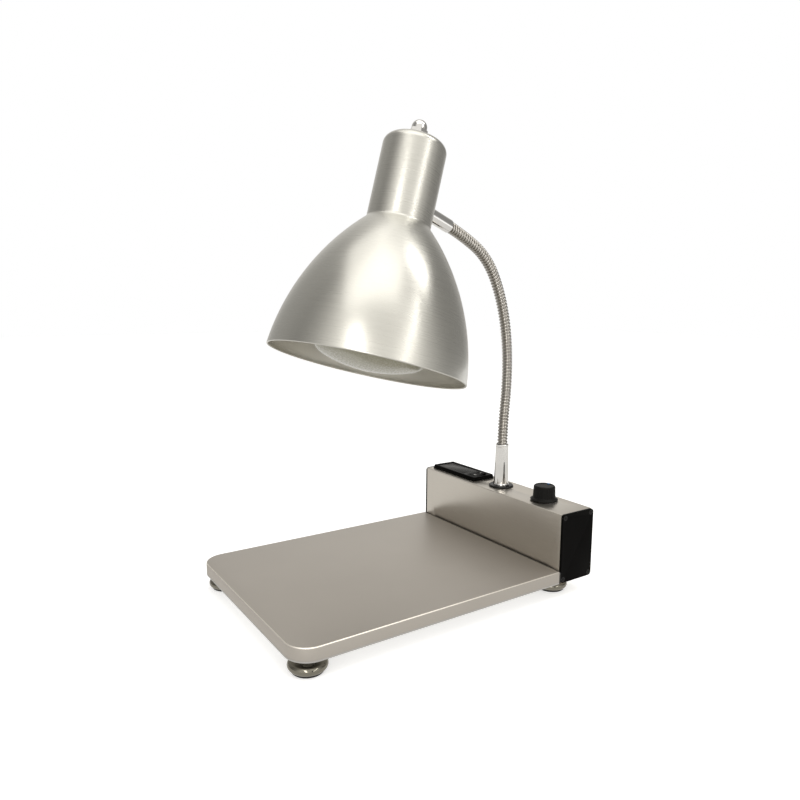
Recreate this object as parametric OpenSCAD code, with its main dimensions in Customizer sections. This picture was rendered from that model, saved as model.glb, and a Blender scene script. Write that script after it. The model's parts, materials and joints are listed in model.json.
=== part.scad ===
// Bench heat lamp: a spun reflector head on a wound flexible neck, carried by a
// control box behind a flat warming plate. Millimetres, +Z up, floor at Z = 0,
// +X to the lamp's right and -Y towards the person using it. The origin lies on
// the floor, under the middle of plate and box.

/* [Base plate] */
// Width of the plate and of the control box over its end caps
base_w = 260; // [220:1:330]
// Depth of the plate in front of the control box
plate_d = 325; // [260:1:420]
// Height of the plate's edge, bottom sheet included
plate_t = 14.4; // [12:0.2:24]
// Thickness of the plate's working face
face_t = 3; // [2:0.5:5]
// Thickness of the plate's skirt
skirt_t = 3; // [2:0.5:5]
// Thickness of the plate's rear bar, which the box is bolted to
rear_bar_t = 11; // [9:0.5:20]
// Radius of the plate's two front corners
corner_r = 24; // [12:1:50]
// Bevel along the plate's upper edge
edge_bevel = 0.8; // [0.4:0.1:1.5]
// Thickness of the sheet that closes the plate from below
cover_t = 1.5; // [1:0.1:2.5]

/* [Levelling feet] */
// Height of the feet, from the floor to the underside of the plate
foot_h = 18; // [15:0.5:30]
// Widest diameter of a foot
foot_d = 38; // [28:1:44]
// Diameter of a foot's threaded stud
stud_d = 8; // [6:1:10]
// Distance from the plate's edges to the front feet
foot_inset = 22; // [20:1:60]
// Distance by which the rear feet stand further in than the front ones
rear_foot_in = 7; // [3:1:20]
// Thickness of a foot's pad
pad_t = 2.2; // [1.5:0.1:3]

/* [Control box] */
// Depth of the box, front to back
box_d = 50; // [44:1:80]
// Height of the box
box_h = 80; // [60:1:120]
// Wall of the extruded box
box_wall = 2; // [1.6:0.1:3]
// Thickness of an end cap
cap_t = 3; // [2:0.5:6]
// Thickness of the seal between plate and box
seal_t = 2; // [1:0.5:4]

/* [Display and switch panel] */
// Length of the panel frame
panel_w = 89; // [80:1:92]
// Width of the panel frame, front to back
panel_d = 36; // [31:1:38]
// Height of the panel frame above the box
panel_h = 5; // [2.5:0.5:6]
// Centre of the panel, left of the neck
panel_x = -78; // [-80:1:-74]
// Angle that the switch rocker turns through
rocker_swing = 14; // [8:1:16]

/* [Dimmer knob] */
// Centre of the knob, right of the neck
knob_x = 76; // [60:1:95]
// Diameter of the knob's skirt
knob_skirt_d = 32.6; // [30:0.2:40]
// Diameter of the knob's grip
knob_d = 26.6; // [22:0.2:28]
// Height of the knob above the box
knob_h = 18.6; // [17:0.2:30]
// Direction that the knob's mark points in, from the right towards the back
knob_mark = 105; // [30:1:150]

/* [Flexible neck] */
// Length of the wound neck between its two hinge ends
neck_len = 326; // [280:1:400]
// Outer diameter of the winding
coil_od = 13.4; // [12:0.2:15]
// Diameter of the wound wire
wire_d = 2.8; // [2.2:0.1:2.9]
// Turns of the winding over the whole neck
turns = 80; // [60:1:84]
// Bend of each section in degrees, from the box to the head
section_bend = [-7, 10, 13, 17, 32, 8];
// Angle that the neck's plane of bending is turned to the right
neck_swing = 12.2; // [-40:0.1:40]
// Height of the lower ferrule
lower_ferrule_h = 55; // [35:1:80]
// Length of the upper ferrule
upper_ferrule_l = 38.2; // [28:0.2:55]

/* [Shade] */
// Diameter of the shade at its rim
rim_d = 204; // [180:1:240]
// Height of the bell, from the rim to its shoulder
bell_h = 149; // [130:1:180]
// Lean of the bell's wall at the rim
rim_lean = 5; // [0:0.5:12]
// Diameter of the shade's collar, which holds the lampholder
collar_d = 67; // [64:0.5:80]
// Height of the collar above the shoulder
collar_h = 89; // [85:1:110]
// Thickness of the spun sheet
sheet_t = 1.2; // [0.8:0.1:2]
// Radius where the bell runs into the collar
shoulder_r = 5; // [3:0.5:10]
// Radius round the collar's upper edge
crown_r = 9; // [5:0.5:12]
// Height above the shoulder at which the neck enters the collar
entry_h = 28; // [24:1:40]
// Height of the domed nut on top of the collar
finial_h = 23.6; // [20:0.2:32]

/* [Reflector bulb] */
// Widest diameter of the bulb
bulb_d = 125; // [115:1:127]
// Length of the bulb, over its screw cap
bulb_l = 181; // [176:1:186]
// Depth of the bulb's domed face
bulb_face_h = 29; // [26:1:32]
// Distance that the bulb's face stands below the shade's rim
bulb_drop = 4; // [-6:1:8]

/* [Hidden] */

$fn = 64;
eps = 0.01;

// Clearances: pressed together, sliding or screwed, and between moving bodies
fit = 0.05;
slip = 0.2;
apart = 0.3;

// Levels and places of the base
plate_z = foot_h;
box_top = plate_z + box_h;
base_depth = plate_d + seal_t + box_d;
front_y = -base_depth / 2;
plate_back = front_y + plate_d;
box_front = plate_back + seal_t;
box_back = box_front + box_d;
box_y = (box_front + box_back) / 2;
profile_w = base_w - 2 * cap_t;

// Screw channels in the box's corners: radius, and distance in from its faces
channel_r = 3;
channel_in = 4;

// Fasteners: shank diameter and head diameter of each size
m3_d = 3;
m3_head = 5.6;
m4_d = 4;
m4_head = 7;
nut_8_af = 13;
nut_8_t = 4;
nut_10_af = 17;
nut_10_t = 5;
stem_d = 10;

// Finishes
ALU = "silver";
CHROME = "gainsboro";
BLACK = "#202020";
STEEL = "lightgray";
BRASS = "goldenrod";

// ---------------------------------------------------------------- helpers

// Rectangle with round corners, centred; the arcs stay true circles.
module round_rect(w, d, r) {
    square([w - 2 * r, d], center = true);
    square([w, d - 2 * r], center = true);
    for (x = [-1, 1], y = [-1, 1])
        translate([x * (w / 2 - r), y * (d / 2 - r)]) circle(r);
}

// Pan-head screw pointing down, with its head's seat at Z = 0.
module screw(d, head, l) {
    head_h = head * 0.42;
    translate([0, 0, -l]) cylinder(d = d, h = l);
    difference() {
        rotate_extrude() intersection() {
            square([head / 2, head_h]);
            translate([0, head_h - head * 0.8]) circle(head * 0.8);
        }
        for (a = [0, 90])
            rotate([0, 0, a])
                translate([-head * 0.3, -head * 0.06, head_h * 0.45])
                    cube([head * 0.6, head * 0.12, head_h]);
    }
}

// Hexagon nut standing on Z = 0, with its thread's bore.
module hex_nut(af, t, bore_d) {
    difference() {
        intersection() {
            cylinder(d = af / cos(30), h = t, $fn = 6);
            rotate_extrude() polygon([
                [0, 0], [af * 0.5, 0], [af * 0.58, af * 0.05],
                [af * 0.58, t - af * 0.05], [af * 0.5, t], [0, t]
            ]);
        }
        translate([0, 0, -1]) cylinder(d = bore_d, h = t + 2);
    }
}

// ------------------------------------------------------------- base plate

foot_x = base_w / 2 - foot_inset;
front_foot_y = front_y + foot_inset;
rear_foot_x = foot_x - rear_foot_in;
// The rear feet's nuts inside the box stand clear of its front screw channel.
rear_foot_y = box_front + channel_in + channel_r + nut_8_af / 2 / cos(30) + apart;
FEET = [
    [-foot_x, front_foot_y], [foot_x, front_foot_y],
    [-rear_foot_x, rear_foot_y], [rear_foot_x, rear_foot_y]
];
screw_rows = 3;
screw_edge = skirt_t + 6;
bolt_rows = [-0.4, -0.15, 0.15, 0.4];
bolt_z = plate_z + channel_in + channel_r + m4_head / 2 + apart;

// Places of the bottom sheet's screws
function cover_screw_xy() = [
    for (i = [0 : screw_rows - 1], s = [-1, 1])
        [s * (base_w / 2 - screw_edge),
         front_y + corner_r + 24 + i * (plate_d - corner_r - 44) / (screw_rows - 1)]
];

// Outline of the plate: two round front corners, two square rear ones.
module plate_outline(inset, back) {
    w = base_w - 2 * inset;
    r = corner_r - inset;
    translate([-w / 2, front_y + inset + r])
        square([w, back - front_y - inset - r]);
    translate([-w / 2 + r, front_y + inset])
        square([w - 2 * r, back - front_y - inset]);
    for (s = [-1, 1])
        translate([s * (w / 2 - r), front_y + inset + r]) circle(r);
}

// Solid block of the plate with its bevelled upper edge.
module plate_block(h) {
    b = edge_bevel;
    half = base_w / 2;
    run = plate_back - front_y - corner_r;
    translate([0, plate_back, 0])
        rotate([90, 0, 0])
            linear_extrude(run) polygon([
                [-half, 0], [half, 0], [half, h - b], [half - b, h],
                [b - half, h], [-half, h - b]
            ]);
    translate([corner_r - half, 0, 0])
        rotate([90, 0, 90])
            linear_extrude(base_w - 2 * corner_r) polygon([
                [front_y, 0], [plate_back, 0], [plate_back, h],
                [front_y + b, h], [front_y, h - b]
            ]);
    for (s = [-1, 1])
        translate([s * (half - corner_r), front_y + corner_r, 0])
            rotate_extrude() polygon([
                [0, 0], [corner_r, 0], [corner_r, h - b], [corner_r - b, h], [0, h]
            ]);
}

module base_plate() {
    h = plate_t - cover_t;
    boss_h = h - face_t + eps;
    color(ALU) translate([0, 0, plate_z + cover_t]) difference() {
        union() {
            difference() {
                plate_block(h);
                translate([0, 0, -1]) linear_extrude(h - face_t + 1)
                    plate_outline(skirt_t, plate_back - rear_bar_t);
            }
            for (p = cover_screw_xy())
                translate([p[0], p[1], 0]) cylinder(d = 8, h = boss_h);
            for (i = [0, 1])
                translate([FEET[i][0], FEET[i][1], 0]) cylinder(d = 16, h = boss_h);
        }
        for (p = cover_screw_xy())
            translate([p[0], p[1], -1]) cylinder(d = m3_d + 2 * fit, h = h - face_t + 1);
        for (i = [0, 1])
            translate([FEET[i][0], FEET[i][1], -1])
                cylinder(d = stud_d + 2 * fit, h = h - face_t + 1);
        for (x = bolt_rows)
            translate([x * base_w, plate_back + 1, bolt_z - plate_z - cover_t])
                rotate([90, 0, 0]) cylinder(d = m4_d + 2 * fit, h = rear_bar_t);
    }
}

module bottom_cover() {
    color(ALU) translate([0, 0, plate_z]) difference() {
        linear_extrude(cover_t) plate_outline(0, plate_back);
        for (p = cover_screw_xy())
            translate([p[0], p[1], -1]) cylinder(d = m3_d + 2 * slip, h = cover_t + 2);
        for (i = [0, 1])
            translate([FEET[i][0], FEET[i][1], -1])
                cylinder(d = stud_d + 2 * slip, h = cover_t + 2);
    }
}

module cover_screws() {
    color(STEEL) for (p = cover_screw_xy())
        translate([p[0], p[1], plate_z])
            rotate([180, 0, 0]) screw(m3_d, m3_head, cover_t + 7);
}

module joint_seal() {
    seal_h = plate_t - 1;
    color(BLACK) difference() {
        translate([-base_w / 2, plate_back, plate_z]) cube([base_w, seal_t, seal_h]);
        for (x = bolt_rows)
            translate([x * base_w, box_front + 1, bolt_z])
                rotate([90, 0, 0]) cylinder(d = m4_d + 2 * slip, h = seal_t + 2);
    }
}

// ------------------------------------------------------------ control box

box_r = 1.2;
cap_r = 4;
board_w = 90;
board_t = 1.6;
board_z = plate_z + 30;
board_x = 20;
rail_t = 1.6;
rail_l = 2.5;
CORNERS = [for (y = [-1, 1], z = [-1, 1])
    [y * (box_d / 2 - channel_in), z * (box_h / 2 - channel_in)]];
panel_cut_w = panel_w - 4;
panel_cut_d = panel_d - 4;
flange_d = 31.2;
flange_t = 2.2;
flange_screw_r = 12.3;
ferrule_stub_d = 10;

// Cross-section of the extruded box, seen along X: front to back, then height.
module box_section() {
    inner_d = box_d - 2 * box_wall;
    difference() {
        round_rect(box_d, box_h, box_r);
        difference() {
            square([inner_d, box_h - 2 * box_wall], center = true);
            for (c = CORNERS)
                translate(c) circle(channel_r);
            for (s = [0, 1], z = [-rail_t - slip, board_t + slip])
                mirror([s, 0])
                    translate([inner_d / 2 - rail_l, board_z - plate_z - box_h / 2 + z])
                        square([rail_l + eps, rail_t]);
        }
    }
}

module box_profile() {
    color(ALU) difference() {
        translate([-profile_w / 2, box_y, plate_z + box_h / 2])
            rotate([90, 0, 90]) linear_extrude(profile_w) box_section();
        for (c = CORNERS, s = [-1, 1])
            translate([s * (profile_w / 2 - 12), box_y + c[0],
                       plate_z + box_h / 2 + c[1]])
                rotate([0, s * 90, 0]) cylinder(d = m3_d + 2 * fit, h = 13);
        translate([panel_x - panel_cut_w / 2, box_y - panel_cut_d / 2, box_top - 10])
            cube([panel_cut_w, panel_cut_d, 20]);
        translate([0, box_y, box_top - 5]) cylinder(d = ferrule_stub_d + 2 * slip, h = 10);
        for (s = [-1, 1])
            translate([s * flange_screw_r, box_y, box_top - 5])
                cylinder(d = m3_d * 0.8 + 2 * fit, h = 10);
        translate([knob_x, box_y, box_top - 5]) cylinder(d = bushing_d + 2 * slip, h = 10);
        for (i = [2, 3])
            translate([FEET[i][0], FEET[i][1], plate_z - 1])
                cylinder(d = stud_d + 2 * fit, h = box_wall + 2);
        for (x = bolt_rows)
            translate([x * base_w, box_front + 5, bolt_z])
                rotate([90, 0, 0]) cylinder(d = m4_d + 2 * slip, h = 10);
        inlet_place() {
            translate([-inlet_cut_w / 2, -inlet_cut_h / 2, -5])
                cube([inlet_cut_w, inlet_cut_h, 10]);
            for (s = [-1, 1])
                translate([s * inlet_pitch / 2, 0, -5])
                    cylinder(d = m3_d + 2 * fit, h = 10);
        }
    }
}

// One end cap, its outer face towards +Z.
module end_cap() {
    spigot = box_wall + slip;
    difference() {
        union() {
            linear_extrude(cap_t) round_rect(box_d, box_h, cap_r);
            translate([0, 0, -2]) linear_extrude(2 + eps) difference() {
                square([box_d - 4 * channel_in - 6, box_h - 2 * spigot], center = true);
                square([box_d, box_h - 2 * spigot - 4], center = true);
            }
        }
        for (c = CORNERS) translate(c) {
            translate([0, 0, -5]) cylinder(d = m3_d + 2 * slip, h = 20);
            translate([0, 0, cap_t - 1.7]) cylinder(d1 = m3_d, d2 = 6.2, h = 1.7 + eps);
        }
    }
}

// Puts an end cap or its screws on the left (-1) or right (1) end of the box.
module on_box_end(side) {
    translate([side * profile_w / 2, box_y, plate_z + box_h / 2])
        rotate([90, 0, side * 90]) children();
}

module end_cap_left() {
    color(BLACK) on_box_end(-1) end_cap();
}

module end_cap_right() {
    color(BLACK) on_box_end(1) end_cap();
}

// Countersunk screws of both end caps
module cap_screws() {
    color(BLACK) for (side = [-1, 1]) on_box_end(side) for (c = CORNERS) translate(c)
        difference() {
            union() {
                translate([0, 0, -9]) cylinder(d = m3_d, h = 9 + cap_t - 1.6);
                translate([0, 0, cap_t - 1.6]) cylinder(d1 = m3_d, d2 = 5.8, h = 1.6);
            }
            for (a = [0, 90]) rotate([0, 0, a])
                translate([-1.6, -0.3, cap_t - 0.9]) cube([3.2, 0.6, 2]);
        }
}

// Bolts from inside the box into the plate's rear bar
module joining_bolts() {
    grip = rear_bar_t - 3 + seal_t;
    color(STEEL) for (x = bolt_rows)
        translate([x * base_w, box_front + box_wall, bolt_z]) rotate([-90, 0, 0])
            difference() {
                union() {
                    cylinder(d = m4_head, h = 5);
                    translate([0, 0, -grip]) cylinder(d = m4_d, h = grip + eps);
                }
                translate([0, 0, 2.5]) cylinder(d = 4.6, h = 3, $fn = 6);
            }
}

// ---------------------------------------------- display and switch panel

window_w = panel_w - 31;
window_d = panel_d - 9;
window_x = -panel_w / 2 + 5 + window_w / 2;
window_t = 1.6;
switch_w = 15;
switch_d = 24;
switch_x = panel_w / 2 - 4.5 - switch_w / 2;
panel_body_h = 24;
rocker_w = switch_w - 3;
rocker_l = switch_d - 4;
rocker_rise = 2.6;
pivot_r = 1.2;
pivot_drop = 3.5;

// Origin of the panel: its centre, level with the top of the box.
module panel_place() {
    translate([panel_x, box_y, box_top]) children();
}

// Raised frame with its sloping border
module panel_frame() {
    color(BLACK) panel_place() difference() {
        union() {
            hull() {
                linear_extrude(1) round_rect(panel_w, panel_d, 1.5, $fn = 32);
                linear_extrude(panel_h)
                    round_rect(panel_w - 2.4, panel_d - 2.4, 1.5, $fn = 32);
            }
            translate([0, 0, -3]) linear_extrude(3 + eps)
                square([panel_cut_w - 2 * slip, panel_cut_d - 2 * slip], center = true);
        }
        translate([window_x, 0, panel_h - 0.6 - window_t])
            linear_extrude(10) square([window_w + 2 * slip, window_d + 2 * slip], center = true);
        translate([window_x, 0, -5])
            linear_extrude(10) square([window_w - 3, window_d - 3], center = true);
        translate([switch_x, 0, -5]) linear_extrude(20)
            square([switch_w + 2 * slip, switch_d + 2 * slip], center = true);
    }
}

module panel_window() {
    color("#303438") panel_place()
        translate([window_x, 0, panel_h - 0.6 - window_t])
            linear_extrude(window_t) square([window_w, window_d], center = true);
}

// Housing of the display below the frame
module panel_body() {
    w = switch_x - switch_w / 2 - slip * 4 + panel_w / 2 - 4;
    color(BLACK) panel_place()
        translate([-panel_w / 2 + 4, -(panel_cut_d - 4) / 2, -3 - panel_body_h])
            difference() {
                cube([w, panel_cut_d - 4, panel_body_h]);
                translate([2, 2, 2]) cube([w - 4, panel_cut_d - 8, panel_body_h]);
            }
}

// Collar and case of the rocker switch
module switch_frame() {
    color(BLACK) panel_place() translate([switch_x, 0, 0]) difference() {
        translate([0, 0, -20]) linear_extrude(20 + panel_h)
            square([switch_w, switch_d], center = true);
        translate([0, 0, -12]) linear_extrude(30)
            square([rocker_w + 2 * apart, rocker_l + 2 * apart], center = true);
        translate([-switch_w / 2 - 1, 0, panel_h - pivot_drop]) rotate([0, 90, 0])
            cylinder(r = pivot_r + fit, h = switch_w + 2);
    }
}

// Rocker with its two trunnions, tipped to the off position
module switch_rocker() {
    half = rocker_l / 2 - 0.9;
    color(BLACK) panel_place()
        translate([switch_x, 0, panel_h - pivot_drop]) rotate([rocker_swing / 2, 0, 0]) {
            translate([-rocker_w / 2, 0, 0]) rotate([90, 0, 90])
                linear_extrude(rocker_w) difference() {
                    polygon([
                        [-half, pivot_drop + rocker_rise - 1.5],
                        [-half, pivot_drop - 2], [-4, -4], [4, -4],
                        [half, pivot_drop - 2], [half, pivot_drop + rocker_rise - 1.5],
                    ]);
                    translate([0, pivot_drop + rocker_rise + 38]) circle(40, $fn = 128);
                }
            translate([-switch_w / 2 + 0.4, 0, 0]) rotate([0, 90, 0])
                cylinder(r = pivot_r, h = switch_w - 0.8);
        }
}

// ----------------------------------------------------------------- dimmer

bushing_d = 7;
bushing_h = 6;
shaft_d = 6;
shaft_flat = 1.5;
shaft_flat_z = bushing_h + apart;
knob_gap = 0.8;
dimmer_d = 24;
dimmer_depth = 14;
dimmer_nut_t = 2;
knob_bore_h = knob_h - 6;
grip_flutes = 30;
skirt_h = 3;

// Origin of the dimmer: on its shaft, level with the top of the box.
module dimmer_place() {
    translate([knob_x, box_y, box_top]) children();
}

module dimmer_body() {
    color(STEEL) dimmer_place() difference() {
        union() {
            translate([0, 0, -box_wall - dimmer_depth]) cylinder(d = dimmer_d, h = dimmer_depth);
            translate([0, 0, -box_wall - eps]) cylinder(d = bushing_d, h = bushing_h + eps);
            for (x = [-5, 0, 5])
                translate([x - 1, -dimmer_d / 2 - 5, -box_wall - 6]) cube([2, 8, 0.8]);
        }
        translate([0, 0, -box_wall - dimmer_depth + 4])
            cylinder(d = shaft_d + 2 * fit, h = 40);
    }
}

module dimmer_nut() {
    color(STEEL) dimmer_place() hex_nut(10, dimmer_nut_t, bushing_d + 2 * fit);
}

// Section of the shaft where it has its flat, grown by g
module shaft_section(g) {
    r = shaft_d / 2 + g;
    intersection() {
        circle(r);
        translate([-2 * r, -2 * r]) square([2 * r + shaft_flat + g, 4 * r]);
    }
}

module dimmer_shaft() {
    foot = -box_wall - dimmer_depth + 4 + apart;
    color(STEEL) dimmer_place() rotate([0, 0, knob_mark]) {
        translate([0, 0, foot]) cylinder(d = shaft_d, h = shaft_flat_z - foot);
        translate([0, 0, shaft_flat_z - eps])
            linear_extrude(knob_bore_h - 0.5 - shaft_flat_z) shaft_section(0);
    }
}

// Fluted grip on a bevelled skirt
module dimmer_knob() {
    r = knob_d / 2;
    top_r = r - 0.6;
    color(BLACK) dimmer_place() rotate([0, 0, knob_mark]) difference() {
        rotate_extrude() polygon([
            [0, knob_gap], [knob_skirt_d / 2 - 0.6, knob_gap],
            [knob_skirt_d / 2, knob_gap + 0.8], [knob_skirt_d / 2, knob_gap + 1.4],
            [r + 0.6, knob_gap + skirt_h], [r, knob_gap + skirt_h + 0.8],
            [top_r, knob_h - 1.2], [top_r - 1.2, knob_h], [top_r - 2.6, knob_h],
            [top_r - 3.2, knob_h - 0.5], [0, knob_h - 0.5]
        ]);
        for (i = [0 : grip_flutes - 1]) rotate([0, 0, (i + 0.5) * 360 / grip_flutes])
            translate([r + 0.3, 0, knob_gap + skirt_h + 1])
                rotate([0, -atan(0.6 / (knob_h - skirt_h)), 0])
                    cylinder(r = 0.8, h = knob_h, $fn = 16);
        translate([0, 0, knob_gap - 1]) cylinder(d = 14, h = dimmer_nut_t + 2.6);
        translate([0, 0, knob_gap]) linear_extrude(shaft_flat_z - knob_gap)
            circle(d = shaft_d + 2 * fit);
        translate([0, 0, shaft_flat_z - eps]) linear_extrude(knob_bore_h - shaft_flat_z)
            shaft_section(fit);
        translate([top_r - 4.8, -1.3, knob_h - 1.2]) cube([4, 2.6, 5]);
    }
}

module knob_mark_inlay() {
    top_r = knob_d / 2 - 0.6;
    color("steelblue") dimmer_place() rotate([0, 0, knob_mark])
        translate([top_r - 4.75, -1.25, knob_h - 1.2]) cube([3.3, 2.5, 1.3]);
}

// ---------------------------------------------------- board and inlet

inlet_x = -60;
inlet_z = plate_z + 30;
inlet_cut_w = 28;
inlet_cut_h = 21;
inlet_pitch = 40;
inlet_flange_t = 3;
inlet_depth = 17;

// Circuit board held in the box's rails, with its choke, triac and capacitor
module dimmer_board() {
    w = box_d - 2 * box_wall - 2 * slip;
    color("darkgreen") translate([board_x - board_w / 2, box_y - w / 2, board_z])
        cube([board_w, w, board_t]);
    color("darkgreen") translate([board_x, box_y, board_z + board_t - eps]) {
        translate([10, 2, 0]) difference() {
            cylinder(r = 12, h = 8);
            translate([0, 0, -1]) cylinder(r = 4, h = 10);
        }
        translate([-12, 0, 0]) cube([10, 4.6, 15]);
        translate([-30, 3, 0]) cylinder(d = 10, h = 18);
    }
}

// Screw terminals on the board
module terminal_block() {
    ways = 3;
    pitch = 8;
    color("seagreen") translate([board_x + 34, box_y - 12, board_z + board_t])
        difference() {
            cube([9, ways * pitch, 11]);
            for (i = [0 : ways - 1]) translate([4.5, (i + 0.5) * pitch, 0]) {
                translate([0, 0, 6]) cylinder(d = 4.2, h = 10);
                translate([0, 0, 3.2]) rotate([0, 90, 0]) cylinder(d = 3.6, h = 10);
            }
        }
}

// Origin of the mains inlet: on the outside of the box's back, facing +Z.
module inlet_place() {
    translate([inlet_x, box_back, inlet_z]) rotate([-90, 180, 0]) children();
}

// Outline with two cut corners, as a plug of this kind needs
module inlet_outline(w, h, cut) {
    polygon([
        [-w / 2, -h / 2], [w / 2, -h / 2], [w / 2, h / 2 - cut], [w / 2 - cut, h / 2],
        [cut - w / 2, h / 2], [-w / 2, h / 2 - cut]
    ]);
}

module inlet_body() {
    color(BLACK) inlet_place() difference() {
        union() {
            linear_extrude(inlet_flange_t) difference() {
                round_rect(50, 24, 4);
                for (s = [-1, 1]) translate([s * inlet_pitch / 2, 0]) circle(d = m3_d + 2 * slip);
            }
            translate([0, 0, -inlet_depth - 2]) linear_extrude(inlet_depth + 2 + eps)
                inlet_outline(inlet_cut_w - 2 * slip, inlet_cut_h - 2 * slip, 5);
        }
        translate([0, 0, inlet_flange_t - inlet_depth]) linear_extrude(inlet_depth + 1)
            inlet_outline(24.4, 16.6, 4.5);
        for (p = INLET_PINS) translate([p[0] - 1 - fit, p[1] - 2 - fit, -inlet_depth - 3])
            cube([2 + 2 * fit, 4 + 2 * fit, inlet_depth]);
    }
}
INLET_PINS = [[-7, -2], [0, 2], [7, -2]];

module inlet_pins() {
    color(BRASS) inlet_place() for (p = INLET_PINS)
        translate([p[0] - 1, p[1] - 2, -inlet_depth - 10])
            cube([2, 4, inlet_depth + 10 + inlet_flange_t - 5]);
}

module inlet_screws() {
    color(BLACK) inlet_place() for (s = [-1, 1])
        translate([s * inlet_pitch / 2, 0, inlet_flange_t]) screw(m3_d, m3_head, inlet_flange_t + 5);
}

// ------------------------------------------------------- levelling feet

foot_edge_r = min(4.4, (plate_z - nut_8_t - pad_t - 1.2) / 2);
pad_r = foot_d / 2 - 3.5;

// Turned foot: a puck with a full round edge, its dome and its stud in one piece.
module foot(x, y) {
    r = foot_d / 2;
    stud_r = stud_d / 2;
    top = 2 * foot_edge_r;
    stud_top = plate_z + cover_t + 7.2 - pad_t;
    color(CHROME) translate([x, y, pad_t]) rotate_extrude() {
        translate([r - foot_edge_r, foot_edge_r]) circle(foot_edge_r);
        polygon([
            [0, 0], [r - foot_edge_r, 0], [r - foot_edge_r, top], [stud_r + 5, top + 0.5],
            [stud_r + 1.6, top + 0.9], [stud_r, top + 0.9], [stud_r, stud_top - 0.8],
            [stud_r - 0.8, stud_top], [0, stud_top]
        ]);
    }
}

// Pad under a foot
module foot_pad(x, y) {
    color(BLACK) translate([x, y, 0]) rotate_extrude() polygon([
        [0, 0], [pad_r - 0.6, 0], [pad_r, 0.6], [pad_r, pad_t], [0, pad_t]
    ]);
}

module foot_front_left() { foot(FEET[0][0], FEET[0][1]); }
module foot_front_right() { foot(FEET[1][0], FEET[1][1]); }
module foot_rear_left() { foot(FEET[2][0], FEET[2][1]); }
module foot_rear_right() { foot(FEET[3][0], FEET[3][1]); }
module foot_pad_front_left() { foot_pad(FEET[0][0], FEET[0][1]); }
module foot_pad_front_right() { foot_pad(FEET[1][0], FEET[1][1]); }
module foot_pad_rear_left() { foot_pad(FEET[2][0], FEET[2][1]); }
module foot_pad_rear_right() { foot_pad(FEET[3][0], FEET[3][1]); }

// Jam nuts under plate and box, and a second pair inside the box
module foot_nuts() {
    color(STEEL) {
        for (p = FEET) translate([p[0], p[1], plate_z - nut_8_t])
            hex_nut(nut_8_af, nut_8_t, stud_d + 2 * fit);
        for (i = [2, 3]) translate([FEET[i][0], FEET[i][1], plate_z + box_wall])
            hex_nut(nut_8_af, nut_8_t, stud_d + 2 * fit);
    }
}

// ----------------------------------------------------------- lower ferrule

mouth_h = 2.5;
mouth_gap = 0.6;
mouth_wall = 0.8;
upper_mouth_wall = 0.4;
mouth_r = coil_od / 2 + mouth_gap;
mouth_floor = wire_d / 2 + 1.1;
core_r = coil_od / 2 - wire_d - apart;
ball_r = core_r - 0.4;
cup_r = ball_r + apart;
ball_neck = 1;
neck_z = box_top + lower_ferrule_h - mouth_h;
ferrule_base_r = 9.8;

module neck_flange() {
    color(BLACK) translate([0, box_y, box_top]) difference() {
        rotate_extrude() polygon([
            [0, 0], [flange_d / 2, 0], [flange_d / 2, flange_t - 0.9],
            [flange_d / 2 - 0.9, flange_t], [0, flange_t]
        ]);
        translate([0, 0, -1]) cylinder(r = ferrule_base_r + fit, h = 10);
        for (s = [-1, 1]) translate([s * flange_screw_r, 0, -1])
            cylinder(d = m3_d * 0.8 + 2 * fit, h = 10);
    }
}

module flange_screws() {
    color(BLACK) for (s = [-1, 1])
        translate([s * flange_screw_r, box_y, box_top + flange_t])
            screw(m3_d * 0.8, m3_head * 0.75, flange_t + box_wall + 2);
}

// Tapered sleeve with its threaded stub below and the neck's first ball inside
module lower_ferrule() {
    top = lower_ferrule_h;
    r = mouth_r + mouth_wall;
    stub = box_wall + nut_10_t + 2;
    color(CHROME) translate([0, box_y, box_top]) {
        difference() {
            rotate_extrude() polygon([
                [0, -stub], [ferrule_stub_d / 2 - 0.6, -stub], [ferrule_stub_d / 2, -stub + 0.6],
                [ferrule_stub_d / 2, 0], [ferrule_base_r, 0], [ferrule_base_r, 3],
                [ferrule_base_r - 0.5, 4.4], [r - 0.2, top - 3.2], [r, top - 2.8],
                [r, top - 0.3], [r - 0.3, top], [0, top]
            ]);
            translate([0, 0, top - mouth_h - mouth_floor])
                cylinder(r = mouth_r, h = 20);
        }
        translate([0, 0, top - mouth_h - mouth_floor - eps])
            cylinder(r = core_r, h = mouth_floor - ball_neck + eps);
        translate([0, 0, top - mouth_h]) sphere(ball_r);
        translate([0, 0, top - mouth_h - ball_neck - eps])
            cylinder(r = sqrt(ball_r * ball_r - ball_neck * ball_neck), h = ball_neck);
    }
}

module ferrule_nut() {
    color(STEEL) translate([0, box_y, box_top - box_wall - nut_10_t])
        hex_nut(nut_10_af, nut_10_t, ferrule_stub_d + 2 * fit);
}

// ----------------------------------------------------------- flexible neck

sections = len(section_bend);
section_l = neck_len / sections;
coil_r = (coil_od - wire_d) / 2;
pitch = neck_len / turns;
rings_per_turn = 8;
wire_sides = 6;
wire_cut = 1.2;

// Moves children to the neck's hinge k: +Z along the neck, +X to the bend's inside.
module at_hinge(k) {
    if (k == 0)
        translate([0, box_y, neck_z]) rotate([0, 0, neck_swing - 90]) children();
    else
        at_hinge(k - 1)
            translate(arc_point(section_bend[k - 1], section_l))
                rotate([0, section_bend[k - 1], 0]) children();
}

// Point at distance s along a section that bends by b degrees over its length
function arc_point(b, s) =
    let (a = b * s / section_l, r = b == 0 ? 0 : section_l * 180 / (PI * b))
    b == 0 ? [0, 0, s] : [r * (1 - cos(a)), 0, r * sin(a)];

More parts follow.
